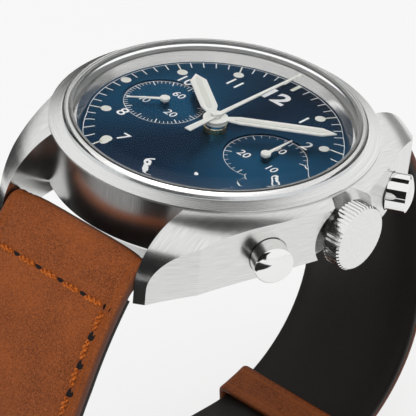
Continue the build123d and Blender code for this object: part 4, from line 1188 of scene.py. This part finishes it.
def studio_floor():
    """A pale floor that looks near white and keeps part of the object's shadow."""
    made = material("floor", (0.88, 0.88, 0.88), 0.0, 0.9)
    tree = made.node_tree
    glow = node(tree, "Emission", (0.96, 0.96, 0.96, 1.0), 1.0).outputs[0]
    amount = remap(tree, seen_rays(tree), 0.0, 1.0, 0.0, 0.75)
    mixed = node(tree, "MixShader", amount, tree.nodes["Principled BSDF"].outputs[0], glow).outputs[0]
    tree.links.new(mixed, tree.nodes["Material Output"].inputs["Surface"])
    return made


def stage_piece(name, size, made):
    """A flat part of the studio, round its own middle."""
    half, high = size[0] / 2, size[1] / 2
    corners = [(-half, -high, 0), (half, -high, 0), (half, high, 0), (-half, high, 0)]
    mesh = bpy.data.meshes.new(name)
    mesh.from_pydata(corners, [], [(0, 1, 2, 3)])
    mesh.materials.append(made)
    placed = added(name, mesh)
    return placed


stage_piece("floor", (4, 4), studio_floor())
black_paint = material("black_card", (0.005, 0.005, 0.005), 0.0, 1.0)


def grey_card():
    """A dim tone that doesn't depend on the lamps."""
    made, tree, surface = bare_material("grey_card")
    tree.links.new(node(tree, "Emission", (0.3, 0.3, 0.3, 1.0), 1.0).outputs[0], surface)
    return made


grey_paint = grey_card()


def facing(place, aim):
    """The transform of something at a place that points at another."""
    turn = (Vector(aim) - Vector(place)).to_track_quat("-Z", "Y")
    return Matrix.Translation(place) @ turn.to_matrix().to_4x4()


def card(name, place, aim, size, made=black_paint):
    """A dark card that only reflections see, as a studio uses to give steel its dark parts."""
    placed = stage_piece(name, size, made)
    placed.matrix_world = facing(place, aim)
    for ray in ("camera", "diffuse", "shadow", "transmission"):
        setattr(placed, f"visible_{ray}", False)


HEAD = (0.0, 0.0, DIAL_Z * MM)
card("card_front", (0.14, -0.45, 0.18), HEAD, (0.7, 0.46))
card("card_left", (-0.36, 0.11, 0.08), HEAD, (0.44, 0.24))
card("card_back", (-0.09, 0.36, 0.05), HEAD, (0.34, 0.15), grey_paint)
card("card_top", (-0.05, 0.13, 0.65), (-0.05, 0.13, 0.0), (0.3, 0.3))
card("card_low", (0.07, -0.2, 0.002), (0.07, -0.2, 1.0), (0.15, 0.27))
card("card_side", (-0.12, -0.02, 0.002), (-0.12, -0.02, 1.0), (0.12, 0.11))
card("card_wall", (-0.06, -0.13, 0.0015), (-0.06, -0.13, 1.0), (0.2, 0.14), grey_paint)

world = bpy.data.worlds.new("studio")
bpy.context.scene.world = world
world.use_nodes = True
tree = world.node_tree
background = tree.nodes["Background"]
background.inputs["Color"].default_value = (1, 1, 1, 1)
level = remap(tree, seen_rays(tree), 0.0, 1.0, WORLD_LIGHT, 1.0)
tree.links.new(level, background.inputs["Strength"])

# A soft lamp in front that doesn't show in reflections
lamp_data = bpy.data.lights.new("front", "AREA")
lamp_data.shape = "RECTANGLE"
lamp_data.size, lamp_data.size_y = (1.0, 0.8)
lamp_data.energy = 5
lamp = added("front", lamp_data)
lamp.matrix_world = facing((0.15, -0.5, 0.7), (0.0, 0.0, 0.05))
lamp.visible_glossy = False
